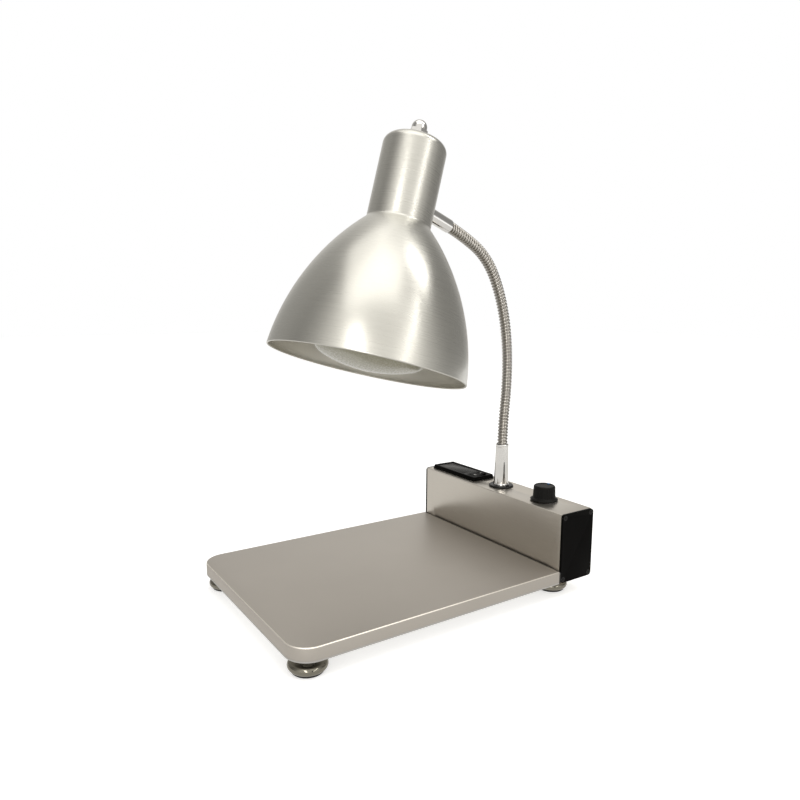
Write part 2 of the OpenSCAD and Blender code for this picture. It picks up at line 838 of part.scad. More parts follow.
// Solid core of one section: cup below, ball above, both centred on a hinge.
module neck_core(k) {
    b = section_bend[k];
    color(BLACK) at_hinge(k) difference() {
        union() {
            core_arc(b, ball_neck, section_l - ball_neck);
            translate(arc_point(b, section_l)) {
                sphere(ball_r);
                rotate([0, b, 0]) translate([0, 0, -ball_neck - 0.5])
                    cylinder(r = sqrt(ball_r * ball_r - ball_neck * ball_neck),
                             h = ball_neck);
            }
        }
        sphere(cup_r);
    }
}

// Round bar along a bent section, from distance s0 to s1
module core_arc(b, s0, s1) {
    if (b == 0)
        translate([0, 0, s0]) cylinder(r = core_r, h = s1 - s0);
    else {
        r = section_l * 180 / (PI * abs(b));
        mirror([b < 0 ? 1 : 0, 0, 0]) translate([r, 0, 0])
            rotate([90, 0, 180]) rotate([0, 0, abs(b) * s0 / section_l])
                rotate_extrude(angle = abs(b) * (s1 - s0) / section_l)
                    translate([r, 0]) circle(core_r);
    }
}

// Point of the wire's centre line, s along section k, in the section's own frame
function coil_point(k, s) =
    let (
        b = section_bend[k],
        a = b * s / section_l,
        turn = 360 * (k * section_l + s) / pitch
    )
    arc_point(b, s)
        + coil_r * [cos(turn) * cos(a), sin(turn), -cos(turn) * sin(a)];

// Outward direction from the neck's axis at the same place
function coil_out(k, s) =
    let (a = section_bend[k] * s / section_l, turn = 360 * (k * section_l + s) / pitch)
    [cos(turn) * cos(a), sin(turn), -cos(turn) * sin(a)];

function unit(v) = v / norm(v);

// Distances along section k at which the wire has a ring of points
function coil_steps(k) =
    let (
        trim = wire_cut / 2 / (2 * PI * coil_r) * pitch,
        n = round((section_l - 2 * trim) / pitch * rings_per_turn)
    )
    [for (i = [0 : n]) trim + (section_l - 2 * trim) * i / n];

function wire_ring(k, s) =
    let (
        h = 0.05,
        along = unit(coil_point(k, s + h) - coil_point(k, s - h)),
        out = coil_out(k, s),
        side = cross(along, out)
    )
    [for (j = [0 : wire_sides - 1])
        let (a = 360 * j / wire_sides)
        coil_point(k, s) + wire_d / 2 * (cos(a) * out + sin(a) * side)];

// Outer winding of one section: an unbroken wire
module neck_winding(k) {
    steps = coil_steps(k);
    n = len(steps);
    m = wire_sides;
    points = [for (s = steps) each wire_ring(k, s)];
    walls = [for (i = [0 : n - 2], j = [0 : m - 1])
        let (a = i * m + j, b = i * m + (j + 1) % m)
        each [[a, a + m, b + m], [a, b + m, b]]];
    ends = concat(
        [for (j = [1 : m - 2]) [0, j, j + 1]],
        [for (j = [1 : m - 2]) [(n - 1) * m, (n - 1) * m + j + 1, (n - 1) * m + j]]
    );
    color(CHROME) at_hinge(k) polyhedron(points, concat(walls, ends));
}

// Least gap between neighbouring turns of one section's wire, on its ring points
function winding_gap(k) =
    let (p = [for (s = coil_steps(k)) coil_point(k, s)], n = len(p))
    min([for (i = [0 : n - 1], j = [i + 5 : min(n - 1, i + 12)]) norm(p[i] - p[j])]) - wire_d;

echo(least_winding_gap = min([for (k = [0 : sections - 1]) winding_gap(k)]));

module neck_core_1() { neck_core(0); }
module neck_core_2() { neck_core(1); }
module neck_core_3() { neck_core(2); }
module neck_core_4() { neck_core(3); }
module neck_core_5() { neck_core(4); }
module neck_core_6() { neck_core(5); }
module neck_winding_1() { neck_winding(0); }
module neck_winding_2() { neck_winding(1); }
module neck_winding_3() { neck_winding(2); }
module neck_winding_4() { neck_winding(3); }
module neck_winding_5() { neck_winding(4); }
module neck_winding_6() { neck_winding(5); }

// -------------------------------------------------------------------- head

collar_r = collar_d / 2;
washer_t = 2.4;
washer_r = 10;
stub_nut_gap = 1.4;
// Distance from the neck's last hinge to the axis of the shade
reach = upper_ferrule_l + washer_t + collar_r - mouth_h;
entry_z = bell_h + entry_h;

// Frame of the shade: its axis along +Z, the centre of its rim at the origin,
// +X away from the neck.
module head_place() {
    at_hinge(sections) translate([0, 0, reach]) rotate([0, -90, 0])
        translate([0, 0, -entry_z]) children();
}

// Straight sleeve with its threaded stub, and the socket of the neck's last ball
module upper_ferrule() {
    r = mouth_r + upper_mouth_wall;
    l = upper_ferrule_l;
    stub_l = l + washer_t + sheet_t + stub_nut_gap + nut_10_t + 3;
    stub_r = ferrule_stub_d / 2;
    color(CHROME) at_hinge(sections) translate([0, 0, -mouth_h]) {
        difference() {
            union() {
                difference() {
                    rotate_extrude() polygon([
                        [0, 0], [r - 0.2, 0], [r, 0.2], [r, l - 0.5], [r - 0.5, l],
                        [stub_r, l], [stub_r, stub_l - 0.6], [stub_r - 0.6, stub_l],
                        [0, stub_l]
                    ]);
                    translate([0, 0, -1]) cylinder(r = mouth_r, h = 1 + mouth_h + mouth_floor);
                }
                translate([0, 0, mouth_h + ball_neck])
                    cylinder(r = core_r, h = mouth_floor - ball_neck + eps);
            }
            translate([0, 0, mouth_h]) sphere(cup_r);
        }
    }
}

// Washer hollowed to sit on the round collar
module saddle_washer() {
    color(BLACK) head_place() difference() {
        translate([0, 0, entry_z]) rotate([0, -90, 0])
            cylinder(r = washer_r, h = collar_r + washer_t);
        cylinder(r = collar_r + fit, h = bell_h + collar_h);
        translate([0, 0, entry_z]) rotate([0, -90, 0])
            cylinder(d = ferrule_stub_d + 2 * slip, h = collar_r + washer_t + 1);
    }
}

// Nuts inside the collar, on the ferrule's stub and on the lampholder's stem
module head_nuts() {
    color(STEEL) head_place() {
        translate([-collar_r + sheet_t + stub_nut_gap, 0, entry_z]) rotate([0, 90, 0])
            hex_nut(nut_10_af, nut_10_t, ferrule_stub_d + 2 * fit);
        translate([0, 0, bell_h + collar_h - sheet_t - nut_10_t])
            hex_nut(nut_10_af, nut_10_t, stem_d + 2 * fit);
    }
}

// Radius of the bell's arc, from its height, its widths and its lean at the rim
bell_in = rim_d / 2 - collar_r;
bell_r = (bell_in * bell_in + bell_h * bell_h)
    / (2 * (bell_in * cos(rim_lean) - bell_h * sin(rim_lean)));
bell_c = [rim_d / 2 - bell_r * cos(rim_lean), -bell_r * sin(rim_lean)];

// Half section of the shade's outside, shrunk by t for its inside
module shade_half(t) {
    top = bell_h + collar_h - t;
    r = collar_r - t;
    fillet = shoulder_r + t;
    cr = crown_r - t;
    // centre of the shoulder's fillet, and where it meets the bell's arc
    fx = collar_r + shoulder_r;
    fz = bell_c[1] + sqrt(pow(bell_r + shoulder_r, 2) - pow(fx - bell_c[0], 2));
    meet = bell_c + (bell_r - t) / (bell_r + shoulder_r) * ([fx, fz] - bell_c);
    intersection() {
        translate(bell_c) circle(bell_r - t, $fn = 200);
        translate([0, t > 0 ? -1 : 0]) square([rim_d, meet[1] + (t > 0 ? 1 : 0)]);
    }
    translate([0, meet[1] - 4]) square([r, top - cr - meet[1] + 4]);
    square([r - cr, top]);
    translate([r - cr, top - cr]) circle(cr);
    difference() {
        polygon([[r - 2, meet[1] - eps], meet, [fx, fz], [r - 2, fz]]);
        translate([fx, fz]) circle(fillet);
    }
}

// Spun bell and collar in one sheet
module shade() {
    color(ALU) head_place() difference() {
        rotate_extrude($fn = 128) intersection() {
            difference() {
                shade_half(0);
                shade_half(sheet_t);
            }
            square([rim_d, bell_h + collar_h + 1]);
        }
        translate([0, 0, bell_h + collar_h - 10]) cylinder(d = stem_d + 2 * slip, h = 20);
        translate([0, 0, entry_z]) rotate([0, -90, 0])
            cylinder(d = ferrule_stub_d + 2 * slip, h = collar_r + 5);
    }
}

// Tall domed nut on a hexagon with its washer face
module acorn_nut() {
    flange_h = 1.6;
    dome_r = nut_10_af / 2 - 0.3;
    dome_z = finial_h - dome_r;
    hex_h = dome_z - 3;
    color(CHROME) head_place() translate([0, 0, bell_h + collar_h]) difference() {
        union() {
            cylinder(r = dome_r + 2.6, h = flange_h);
            cylinder(d = nut_10_af / cos(30), h = hex_h, $fn = 6);
            rotate_extrude() intersection() {
                square([dome_r, finial_h]);
                union() {
                    square([dome_r, dome_z]);
                    translate([0, dome_z]) circle(dome_r);
                }
            }
        }
        translate([0, 0, -1]) cylinder(d = stem_d + 2 * fit, h = hex_h + 1);
    }
}

// --------------------------------------------------- lampholder and bulb

bulb_z = -bulb_drop;
cap_l = 27;
cap_d = 26.2;
cap_z = bulb_z + bulb_l - cap_l;
shell_d = 29.4;
bulb_neck_r = 20;
holder_d = 44;
holder_top = bulb_z + bulb_l + 18;

// Threaded tube from the collar's top down to the lampholder
module lampholder_stem() {
    foot = holder_top - 6;
    color(STEEL) head_place() difference() {
        translate([0, 0, foot]) cylinder(d = stem_d, h = bell_h + collar_h + 6 - foot);
        translate([0, 0, foot - 1]) cylinder(d = stem_d - 3, h = 200);
    }
}

// Ceramic lampholder: a wide skirt and a nipple for the stem
module lampholder() {
    skirt = holder_top - 12;
    color("ivory") head_place() difference() {
        rotate_extrude() polygon([
            [0, cap_z - 4], [holder_d / 2 - 1, cap_z - 4], [holder_d / 2, cap_z - 3],
            [holder_d / 2, skirt - 8], [holder_d / 2 - 5, skirt], [12, skirt + 1],
            [12, holder_top - 3], [10, holder_top], [0, holder_top]
        ]);
        translate([0, 0, cap_z - 5]) cylinder(d = shell_d + 2 * fit, h = cap_l + 6);
        translate([0, 0, holder_top - 7]) cylinder(d = stem_d + 2 * fit, h = 8);
    }
}

// Threaded brass shell that the bulb screws into
module screw_shell() {
    color(BRASS) head_place() translate([0, 0, cap_z - 2]) difference() {
        cylinder(d = shell_d, h = cap_l + 2.4);
        translate([0, 0, -1]) cylinder(d = cap_d + 2 * slip, h = cap_l + 2);
        translate([0, 0, cap_l]) cylinder(d = 9, h = 5);
    }
}

// Half section of the bulb's outside, shrunk by t for its inside
module bulb_half(t) {
    w = bulb_d / 2;
    h = bulb_face_h;
    edge_r = h - 7;
    edge_x = w - edge_r;
    face_r = (pow(edge_x, 2) + pow(h, 2) - pow(edge_r, 2)) / (2 * (h - edge_r));
    flank_h = bulb_l - 95;
    flank_in = w - bulb_neck_r;
    flank_r = (pow(flank_in, 2) + pow(flank_h, 2)) / (2 * flank_in);
    neck_z0 = h + flank_h - 6;
    // domed face, out to where the round edge takes over
    intersection() {
        translate([0, face_r]) circle(face_r - t, $fn = 200);
        square([edge_x * (face_r - t) / (face_r - edge_r), h + 1]);
    }
    intersection() {
        translate([edge_x, h]) circle(edge_r - t);
        square([w, h + 1]);
    }
    // flank running back to the neck
    intersection() {
        translate([w - flank_r, h]) circle(flank_r - t, $fn = 200);
        translate([0, h]) square([w, flank_h]);
    }
    translate([0, neck_z0]) square([bulb_neck_r - t, cap_z - bulb_z - 4 - t - neck_z0]);
    translate([0, neck_z0])
        square([cap_d / 2 - 0.8 - t, cap_z - bulb_z + 2 - neck_z0]);
}

// Blown glass envelope
module bulb_glass() {
    color("white", 0.4) head_place() translate([0, 0, bulb_z])
        rotate_extrude($fn = 128) difference() {
            bulb_half(0);
            bulb_half(1.2);
        }
}

// Screw cap with its insulator and centre contact
module bulb_cap() {
    color(BRASS) head_place() translate([0, 0, cap_z]) rotate_extrude() polygon([
        [cap_d / 2 - 0.7, 0], [cap_d / 2, 0], [cap_d / 2, cap_l - 7],
        [cap_d / 2 - 3, cap_l - 4], [6, cap_l - 1.5], [4, cap_l - 1.5], [4, cap_l - 0.3],
        [0, cap_l - 0.3], [0, cap_l - 4], [cap_d / 2 - 4, cap_l - 6], [cap_d / 2 - 0.7, cap_l - 8]
    ]);
}

// ------------------------------------------------------------------ output

base_plate();
bottom_cover();
cover_screws();
joint_seal();
box_profile();
end_cap_left();
end_cap_right();
cap_screws();
joining_bolts();
neck_flange();
flange_screws();
lower_ferrule();
ferrule_nut();
panel_frame();
panel_window();
panel_body();
switch_frame();
switch_rocker();
dimmer_body();
dimmer_nut();
dimmer_shaft();
dimmer_knob();
knob_mark_inlay();
dimmer_board();
terminal_block();
inlet_body();
inlet_pins();
inlet_screws();
foot_nuts();
foot_front_left();
foot_front_right();
foot_rear_left();
foot_rear_right();
foot_pad_front_left();
foot_pad_front_right();
foot_pad_rear_left();
foot_pad_rear_right();
neck_core_1();
neck_core_2();
neck_core_3();
neck_core_4();
neck_core_5();
neck_core_6();
neck_winding_1();
neck_winding_2();
neck_winding_3();
neck_winding_4();
neck_winding_5();
neck_winding_6();
upper_ferrule();
saddle_washer();
head_nuts();
shade();
acorn_nut();
lampholder_stem();
lampholder();
screw_shell();
bulb_glass();
bulb_cap();
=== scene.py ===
"""Bench heat lamp over a warming plate: finishes, wound neck, spun shade, bulb and studio.

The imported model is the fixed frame. Pieces whose CAD shape is right keep it and get a
finish here; the spun, wound and turned pieces are modelled again with finer forms.
Lengths are in metres, in the model's own frame: +Z up, -Y towards the user.
"""

import json
import logging
import math
from dataclasses import dataclass, field
from enum import Enum
from typing import Callable, Sequence

import bpy
from mathutils import Matrix, Quaternion, Vector
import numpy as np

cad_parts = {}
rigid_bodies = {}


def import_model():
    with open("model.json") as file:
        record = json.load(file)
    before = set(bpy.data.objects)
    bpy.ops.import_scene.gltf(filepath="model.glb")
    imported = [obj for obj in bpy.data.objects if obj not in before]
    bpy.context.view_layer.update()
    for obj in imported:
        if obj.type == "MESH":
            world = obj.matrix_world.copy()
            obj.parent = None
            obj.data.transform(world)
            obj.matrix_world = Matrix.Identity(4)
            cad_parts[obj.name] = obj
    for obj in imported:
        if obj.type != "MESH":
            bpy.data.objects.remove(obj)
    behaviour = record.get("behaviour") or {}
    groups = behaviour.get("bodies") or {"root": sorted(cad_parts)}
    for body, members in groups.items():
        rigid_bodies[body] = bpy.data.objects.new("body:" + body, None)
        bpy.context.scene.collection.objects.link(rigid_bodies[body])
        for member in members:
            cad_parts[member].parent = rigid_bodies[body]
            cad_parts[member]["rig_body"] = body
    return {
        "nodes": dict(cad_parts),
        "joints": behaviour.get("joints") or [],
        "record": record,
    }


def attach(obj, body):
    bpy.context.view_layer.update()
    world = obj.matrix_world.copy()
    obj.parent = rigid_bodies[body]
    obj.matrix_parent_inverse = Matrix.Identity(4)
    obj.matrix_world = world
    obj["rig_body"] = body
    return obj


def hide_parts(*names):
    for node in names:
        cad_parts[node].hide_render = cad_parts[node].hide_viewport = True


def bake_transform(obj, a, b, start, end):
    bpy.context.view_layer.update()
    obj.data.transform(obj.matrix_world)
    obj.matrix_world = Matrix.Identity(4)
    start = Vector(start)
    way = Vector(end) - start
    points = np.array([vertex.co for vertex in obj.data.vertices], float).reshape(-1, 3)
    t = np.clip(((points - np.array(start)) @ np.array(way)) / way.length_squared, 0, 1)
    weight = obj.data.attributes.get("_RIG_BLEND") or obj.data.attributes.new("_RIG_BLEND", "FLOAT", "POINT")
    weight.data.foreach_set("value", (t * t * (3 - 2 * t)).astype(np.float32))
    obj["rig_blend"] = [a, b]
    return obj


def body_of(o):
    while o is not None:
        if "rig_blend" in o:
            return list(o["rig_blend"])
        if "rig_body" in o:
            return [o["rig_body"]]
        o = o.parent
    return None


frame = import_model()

LOG = logging.getLogger("heat_lamp")
MM = 0.001
WELD = 0.002 * MM  # points nearer than this become one
SHARP = 30.0  # edges above this angle in degrees get a rounding
ROUNDING_STEPS = 2
FLAT = 0.5  # faces that meet at less than this angle in degrees become one
UV_HEIGHT = 0.1  # the length along a profile that one unit of V covers

Colour = tuple[float, float, float]
Point2 = tuple[float, float]
Point3 = tuple[float, float, float]
Piece = bpy.types.Object
Socket = bpy.types.NodeSocket


# ------ small helpers


def deselect_all() -> None:
    """Leaves edit mode and leaves nothing selected."""
    if bpy.context.object and bpy.context.object.mode != "OBJECT":
        bpy.ops.object.mode_set(mode="OBJECT")
    bpy.ops.object.select_all(action="DESELECT")


def edit_all() -> None:
    """Opens the active piece in edit mode with everything selected."""
    bpy.ops.object.mode_set(mode="EDIT")
    bpy.ops.mesh.select_all(action="SELECT")


def make_active(obj: Piece) -> None:
    """Selects one object alone and makes it the active one.

    Args:
        obj: the object to work on.
    """
    deselect_all()
    obj.select_set(True)
    bpy.context.view_layer.objects.active = obj


def apply_modifiers(obj: Piece) -> None:
    """Applies every modifier of an object, in order.

    Args:
        obj: the object whose modifiers are applied.
    """
    make_active(obj)
    for modifier in list(obj.modifiers):
        bpy.ops.object.modifier_apply(modifier=modifier.name)


def smooth(obj: Piece, angle: float) -> None:
    """Shades an object smooth, but for edges sharper than an angle in degrees."""
    make_active(obj)
    bpy.ops.object.shade_smooth_by_angle(angle=math.radians(angle))


def place(obj: Piece, where: Matrix) -> None:
    """Moves a finished piece to its place and puts that place into its mesh.

    Args:
        obj: the piece, modelled round the origin.
        where: the transform from the piece's own axes to the model's frame.
    """
    make_active(obj)
    obj.matrix_world = where
    bpy.ops.object.transform_apply(location=True, rotation=True, scale=True)


def dress(obj: Piece, *materials: bpy.types.Material) -> None:
    """Gives an object its materials, in slot order.

    Args:
        obj: the object to dress.
        materials: one material for each slot.
    """
    obj.data.materials.clear()
    for material in materials:
        obj.data.materials.append(material)


def linked(name: str, data: bpy.types.ID) -> Piece:
    """Puts a mesh, a curve, a light or a camera into the scene as an object.

    Args:
        name: the object's name.
        data: what the object holds.

    Returns:
        The new object.
    """
    obj = bpy.data.objects.new(name, data)
    bpy.context.scene.collection.objects.link(obj)
    return obj


def rotation(degrees: float, axis: str) -> Matrix:
    """A turn about one of the axes X, Y and Z by an angle in degrees."""
    return Matrix.Rotation(math.radians(degrees), 4, axis)


def material_slots() -> dict[str, str]:
    """The material slot that the record names for each CAD node."""
    return {part["node"]: part["material_slot"] for part in frame["record"]["subparts"]}


def named(entries: Sequence[dict], name: str) -> dict:
    """Finds the mount or joint of a name in one of the frame's lists."""
    return next(entry for entry in entries if entry["name"] == name)


def joint_place(name: str) -> Vector:
    """Looks up a point on a joint's axis at rest, by the joint's name."""
    return Vector(named(frame["joints"], name)["pos_m"])


# ------ modelling tools


def arc(centre: Point2, radius: float, start: float, end: float, count: int) -> list[Point2]:
    """Points along an arc between two angles in degrees, both ends included."""
    angles = [math.radians(start + (end - start) * i / (count - 1)) for i in range(count)]
    return [(centre[0] + radius * math.cos(a), centre[1] + radius * math.sin(a)) for a in angles]


def turned(name: str, profile: Sequence[Point2], steps: int) -> Piece:
    """Turns a half profile about Z, as on a lathe.

    One point is drawn out along the profile and the line is spun round the axis.

    Args:
        name: the new piece's name.
        profile: (radius, height) points. A closed profile repeats its first point.
        steps: how many faces go round.

    Returns:
        The turned piece, round the origin's Z axis.
    """
    deselect_all()
    bpy.ops.mesh.primitive_plane_add(size=MM, location=(0, 0, 0))
    obj = bpy.context.object
    obj.name = obj.data.name = name
    edit_all()
    bpy.ops.mesh.select_mode(type="VERT")
    bpy.ops.mesh.merge(type="CENTER")
    bpy.ops.transform.translate(value=(profile[0][0], 0, profile[0][1]))
    for (r0, z0), (r1, z1) in zip(profile, profile[1:]):
        bpy.ops.mesh.extrude_vertices_move(
            TRANSFORM_OT_translate={"value": (r1 - r0, 0, z1 - z0)})
    bpy.ops.mesh.select_all(action="SELECT")
    bpy.ops.mesh.spin(steps=steps, angle=math.tau, center=(0, 0, 0), axis=(0, 0, 1))
    bpy.ops.mesh.select_all(action="SELECT")
    bpy.ops.mesh.remove_doubles(threshold=WELD)
    bpy.ops.mesh.normals_make_consistent(inside=False)
    bpy.ops.object.mode_set(mode="OBJECT")
    return obj


def wrap_uv(obj: Piece) -> None:
    """Gives a turned piece a UV map that runs round its Z axis and up it.

    Args:
        obj: the turned piece, still round the origin's Z axis.
    """
    layer = obj.data.uv_layers.new(name="turning")
    for polygon in obj.data.polygons:
        middle = math.atan2(polygon.center.y, polygon.center.x)
        for loop in polygon.loop_indices:
            point = obj.data.vertices[obj.data.loops[loop].vertex_index].co
            angle = math.atan2(point.y, point.x) if point.xy.length > 1e-6 else middle
            angle += math.tau * round((middle - angle) / math.tau)
            layer.data[loop].uv = (angle / math.tau, (point.z - point.xy.length) / UV_HEIGHT)


def softened(node: str, width: float) -> Piece:
    """Copies a CAD node as a piece of its own with its sharp edges rounded.

    Args:
        node: the CAD node to copy and stand for.
        width: the rounding's width.

    Returns:
        The rounded copy.
    """
    obj = linked(node + "_shaped", frame["nodes"][node].data.copy())
    make_active(obj)
    edit_all()
    bpy.ops.mesh.customdata_custom_splitnormals_clear()
    bpy.ops.mesh.remove_doubles(threshold=WELD)
    bpy.ops.mesh.dissolve_limited(angle_limit=math.radians(FLAT))
    bpy.ops.object.mode_set(mode="OBJECT")
    bevel = obj.modifiers.new("rounding", "BEVEL")
    bevel.width = width
    bevel.segments = ROUNDING_STEPS
    bevel.limit_method = "ANGLE"
    bevel.angle_limit = math.radians(SHARP)
    apply_modifiers(obj)
    smooth(obj, 40.0)
    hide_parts(node)
    return obj


# ------ finishes


def shade_of(colour: Colour, factor: float) -> Colour:
    """A lighter or darker copy of a colour."""
    return tuple(min(1.0, c * factor) for c in colour)


class Graph:
    """A material's or a world's node tree, with short calls for adding nodes."""

    def __init__(self, name: str, world: bpy.types.World | None = None) -> None:
        """Starts a material with one Principled shader, or opens a world's tree.

        Args:
            name: the material's name.
            world: the world to work on instead of a new material.
        """
        self.material = world or bpy.data.materials.new(name)
        self.material.use_nodes = True
        self.tree = self.material.node_tree
        self.shader = self.tree.nodes.get("Principled BSDF")

    def add(self, kind: str, inputs: dict | None = None, **settings: object) -> bpy.types.Node:
        """Adds a node.

        Args:
            kind: the node's type, without its ShaderNode prefix.
            inputs: sockets by name or number, each with a value or a socket to link from.
            settings: the node's own properties.

        Returns:
            The new node.
        """
        node = self.tree.nodes.new("ShaderNode" + kind)
        for key, value in settings.items():
            setattr(node, key, value)
        for key, value in (inputs or {}).items():
            self.put(node.inputs[key], value)
        return node

    def put(self, socket: Socket, value: object) -> None:
        """Sets a socket, or links it.

        Args:
            socket: the input to fill.
            value: a plain value, or the output socket to link from.
        """
        if isinstance(value, Socket):
            self.tree.links.new(value, socket)
        else:
            socket.default_value = value

    def base(self, **values: object) -> None:
        """Sets the shader's sockets by name, with underscores for spaces."""
        for key, value in values.items():
            name = key.replace("_", " ").title().replace("Ior", "IOR")
            self.put(self.shader.inputs[name], value)

    def show(self, node: bpy.types.Node) -> None:
        """Makes a node's first output the surface."""
        output = self.tree.nodes.get("World Output") or self.tree.nodes["Material Output"]
        self.put(output.inputs["Surface"], node.outputs[0])

    def coords(self, axes: Matrix | None = None, scale: Sequence[float] = (1, 1, 1)) -> Socket:
        """Object coordinates, turned into a piece's own axes and stretched.

        Args:
            axes: the piece's own axes in the model's frame, or None for the model's.
            scale: the stretch along each of those axes.

        Returns:
            The vector socket.
        """
        vector = self.add("TexCoord").outputs["Object"]
        if axes is not None:
            inverse = axes.inverted()
            vector = self.add("Mapping", {"Vector": vector, "Location": inverse.translation,
                                          "Rotation": inverse.to_euler()}).outputs["Vector"]
        return self.add("Mapping", {"Vector": vector, "Scale": scale}).outputs["Vector"]

    def noise(self, scale: float, detail: float = 3.0, rough: float = 0.55,
              vector: Socket | None = None) -> Socket:
        """A noise pattern's value, with some finer layers and their strength."""
        return self.add("TexNoise", {"Vector": vector or self.coords(), "Scale": scale,
                                     "Detail": detail, "Roughness": rough}).outputs[0]

    def ranged(self, value: Socket, low: float, high: float,
               source: Point2 = (0.3, 0.7)) -> Socket:
        """Stretches a value from its source range to a new one."""
        return self.add("MapRange", {"Value": value, "From Min": source[0],
                                     "From Max": source[1], "To Min": low,
                                     "To Max": high}).outputs["Result"]

    def mixed(self, factor: Socket, first: Colour | Socket, second: Colour | Socket) -> Socket:
        """Mixes two colours, of which the first is there where the factor is 0."""
        a, b = ((*c, 1.0) if isinstance(c, tuple) else c for c in (first, second))
        return self.add("Mix", {0: factor, 6: a, 7: b}, data_type="RGBA").outputs[2]

    def clouded(self, pattern: Socket, colour: Colour, low: float, high: float = 1.0) -> Socket:
        """A colour that a noise pattern varies between two shades of it."""
        return self.mixed(self.ranged(pattern, 0.0, 1.0), shade_of(colour, low),
                          shade_of(colour, high))

    def bump(self, height: Socket, strength: float, distance: float) -> Socket:
        """Turns a height pattern of some strength and depth into a normal."""
        return self.add("Bump", {"Height": height, "Strength": strength,
                                 "Distance": distance}).outputs["Normal"]


@dataclass(frozen=True)
class BrushedMetal:
    """Metal with fine parallel or circular brush lines.

    Attributes:
        name: the material's name.
        colour: the metal's reflected colour.
        roughness: the middle of its roughness.
        stretch: how fine the lines are along each of the piece's own axes.
        depth: how deep the lines are.
        lean: how much the highlight stretches across the lines.
        turning: whether the lines go round a turned piece, which has its own UV map.
        lacquer: the weight of a thin clear lacquer over it.
        bright_edge: whether its sloping edges get a painted highlight, a colour much lighter than the
            metal's own.
    """

    name: str
    colour: Colour
    roughness: float
    stretch: Sequence[float]
    depth: float = 0.02 * MM
    lean: float = 0.0
    turning: bool = False
    lacquer: float = 0.0
    bright_edge: bool = False

    def material(self, axes: Matrix | None = None) -> bpy.types.Material:
        """Builds the material.

        Args:
            axes: the piece's own axes, which the lines follow.

        Returns:
            The material.
        """
        g = Graph(self.name)
        if self.turning:
            vector = self.turning_vector(g, axes)
        else:
            vector = g.coords(axes, self.stretch)
        fine = g.noise(1.0, 4.0, 0.65, vector)
        broad = g.noise(14.0, 2.0)
        tone = g.clouded(fine, self.colour, 0.97, 1.03)
        cloud = g.mixed(g.ranged(broad, 0.0, 0.35), tone, shade_of(self.colour, 0.93))
        # Painted highlight: faces that slope between level and upright get a colour 1.9 times the metal's
        # own, for the light that the bevel catches.
        if self.bright_edge:
            cloud = g.mixed(self.slope(g), cloud, shade_of(self.colour, 1.9))
        g.base(base_color=cloud, metallic=1.0,
               roughness=g.ranged(fine, self.roughness - 0.035, self.roughness + 0.045),
               normal=g.bump(fine, 0.55, self.depth), anisotropic=self.lean,
               coat_weight=self.lacquer, coat_roughness=0.12)
        if self.turning:
            g.base(tangent=g.add("Tangent", direction_type="UV_MAP").outputs[0])
        return g.material

    def slope(self, g: Graph) -> Socket:
        """Finds the faces that slope, between level and upright.

        Args:
            g: the material's graph.

        Returns:
            A value that is 1 on a slope and 0 on level and upright faces.
        """
        normal = g.add("NewGeometry").outputs["Normal"]
        upward = g.add("SeparateXYZ", {"Vector": normal}).outputs["Z"]
        not_upright = g.ranged(upward, 0.0, 1.0, (0.25, 0.45))
        not_level = g.ranged(upward, 1.0, 0.0, (0.88, 0.98))
        return g.add("Math", {0: not_upright, 1: not_level}, operation="MULTIPLY").outputs[0]

    def turning_vector(self, g: Graph, axes: Matrix | None) -> Socket:
        """Coordinates whose third axis runs along a turned piece's profile.

        Args:
            g: the material's graph.
            axes: the turned piece's own axes.

        Returns:
            The vector socket.
        """
        own = g.add("SeparateXYZ", {"Vector": g.coords(axes)}).outputs
        flat = g.add("CombineXYZ", {"X": own["X"], "Y": own["Y"]})
        radius = g.add("VectorMath", {0: flat.outputs[0]}, operation="LENGTH")
        along = g.add("Math", {0: own["Z"], 1: radius.outputs["Value"]}, operation="SUBTRACT")
        joined = g.add("CombineXYZ", {"X": own["X"], "Y": own["Y"], "Z": along.outputs[0]})
        return g.add("Mapping", {"Vector": joined.outputs[0],
                                 "Scale": self.stretch}).outputs["Vector"]


@dataclass(frozen=True)
class PlatedMetal:
    """Smooth bright metal: chrome, zinc or brass, with a little haze.

    Attributes:
        name: the material's name.
        colour: the metal's reflected colour.
        roughness: the middle of its roughness.
        haze: how much the roughness changes over the surface.
        wave: how far the plating's surface waves.
    """

    name: str
    colour: Colour
    roughness: float
    haze: float = 0.04
    wave: float = 0.004 * MM

    def material(self) -> bpy.types.Material:
        """Builds the material.

        Returns:
            The material.
        """
        g = Graph(self.name)
        cloud = g.noise(60.0)
        fine = g.noise(900.0, 2.0)
        g.base(base_color=g.clouded(cloud, self.colour, 0.93), metallic=1.0,
               roughness=g.ranged(cloud, max(0.02, self.roughness - self.haze),
                                  self.roughness + self.haze),
               normal=g.bump(fine, 0.3, self.wave))
        return g.material


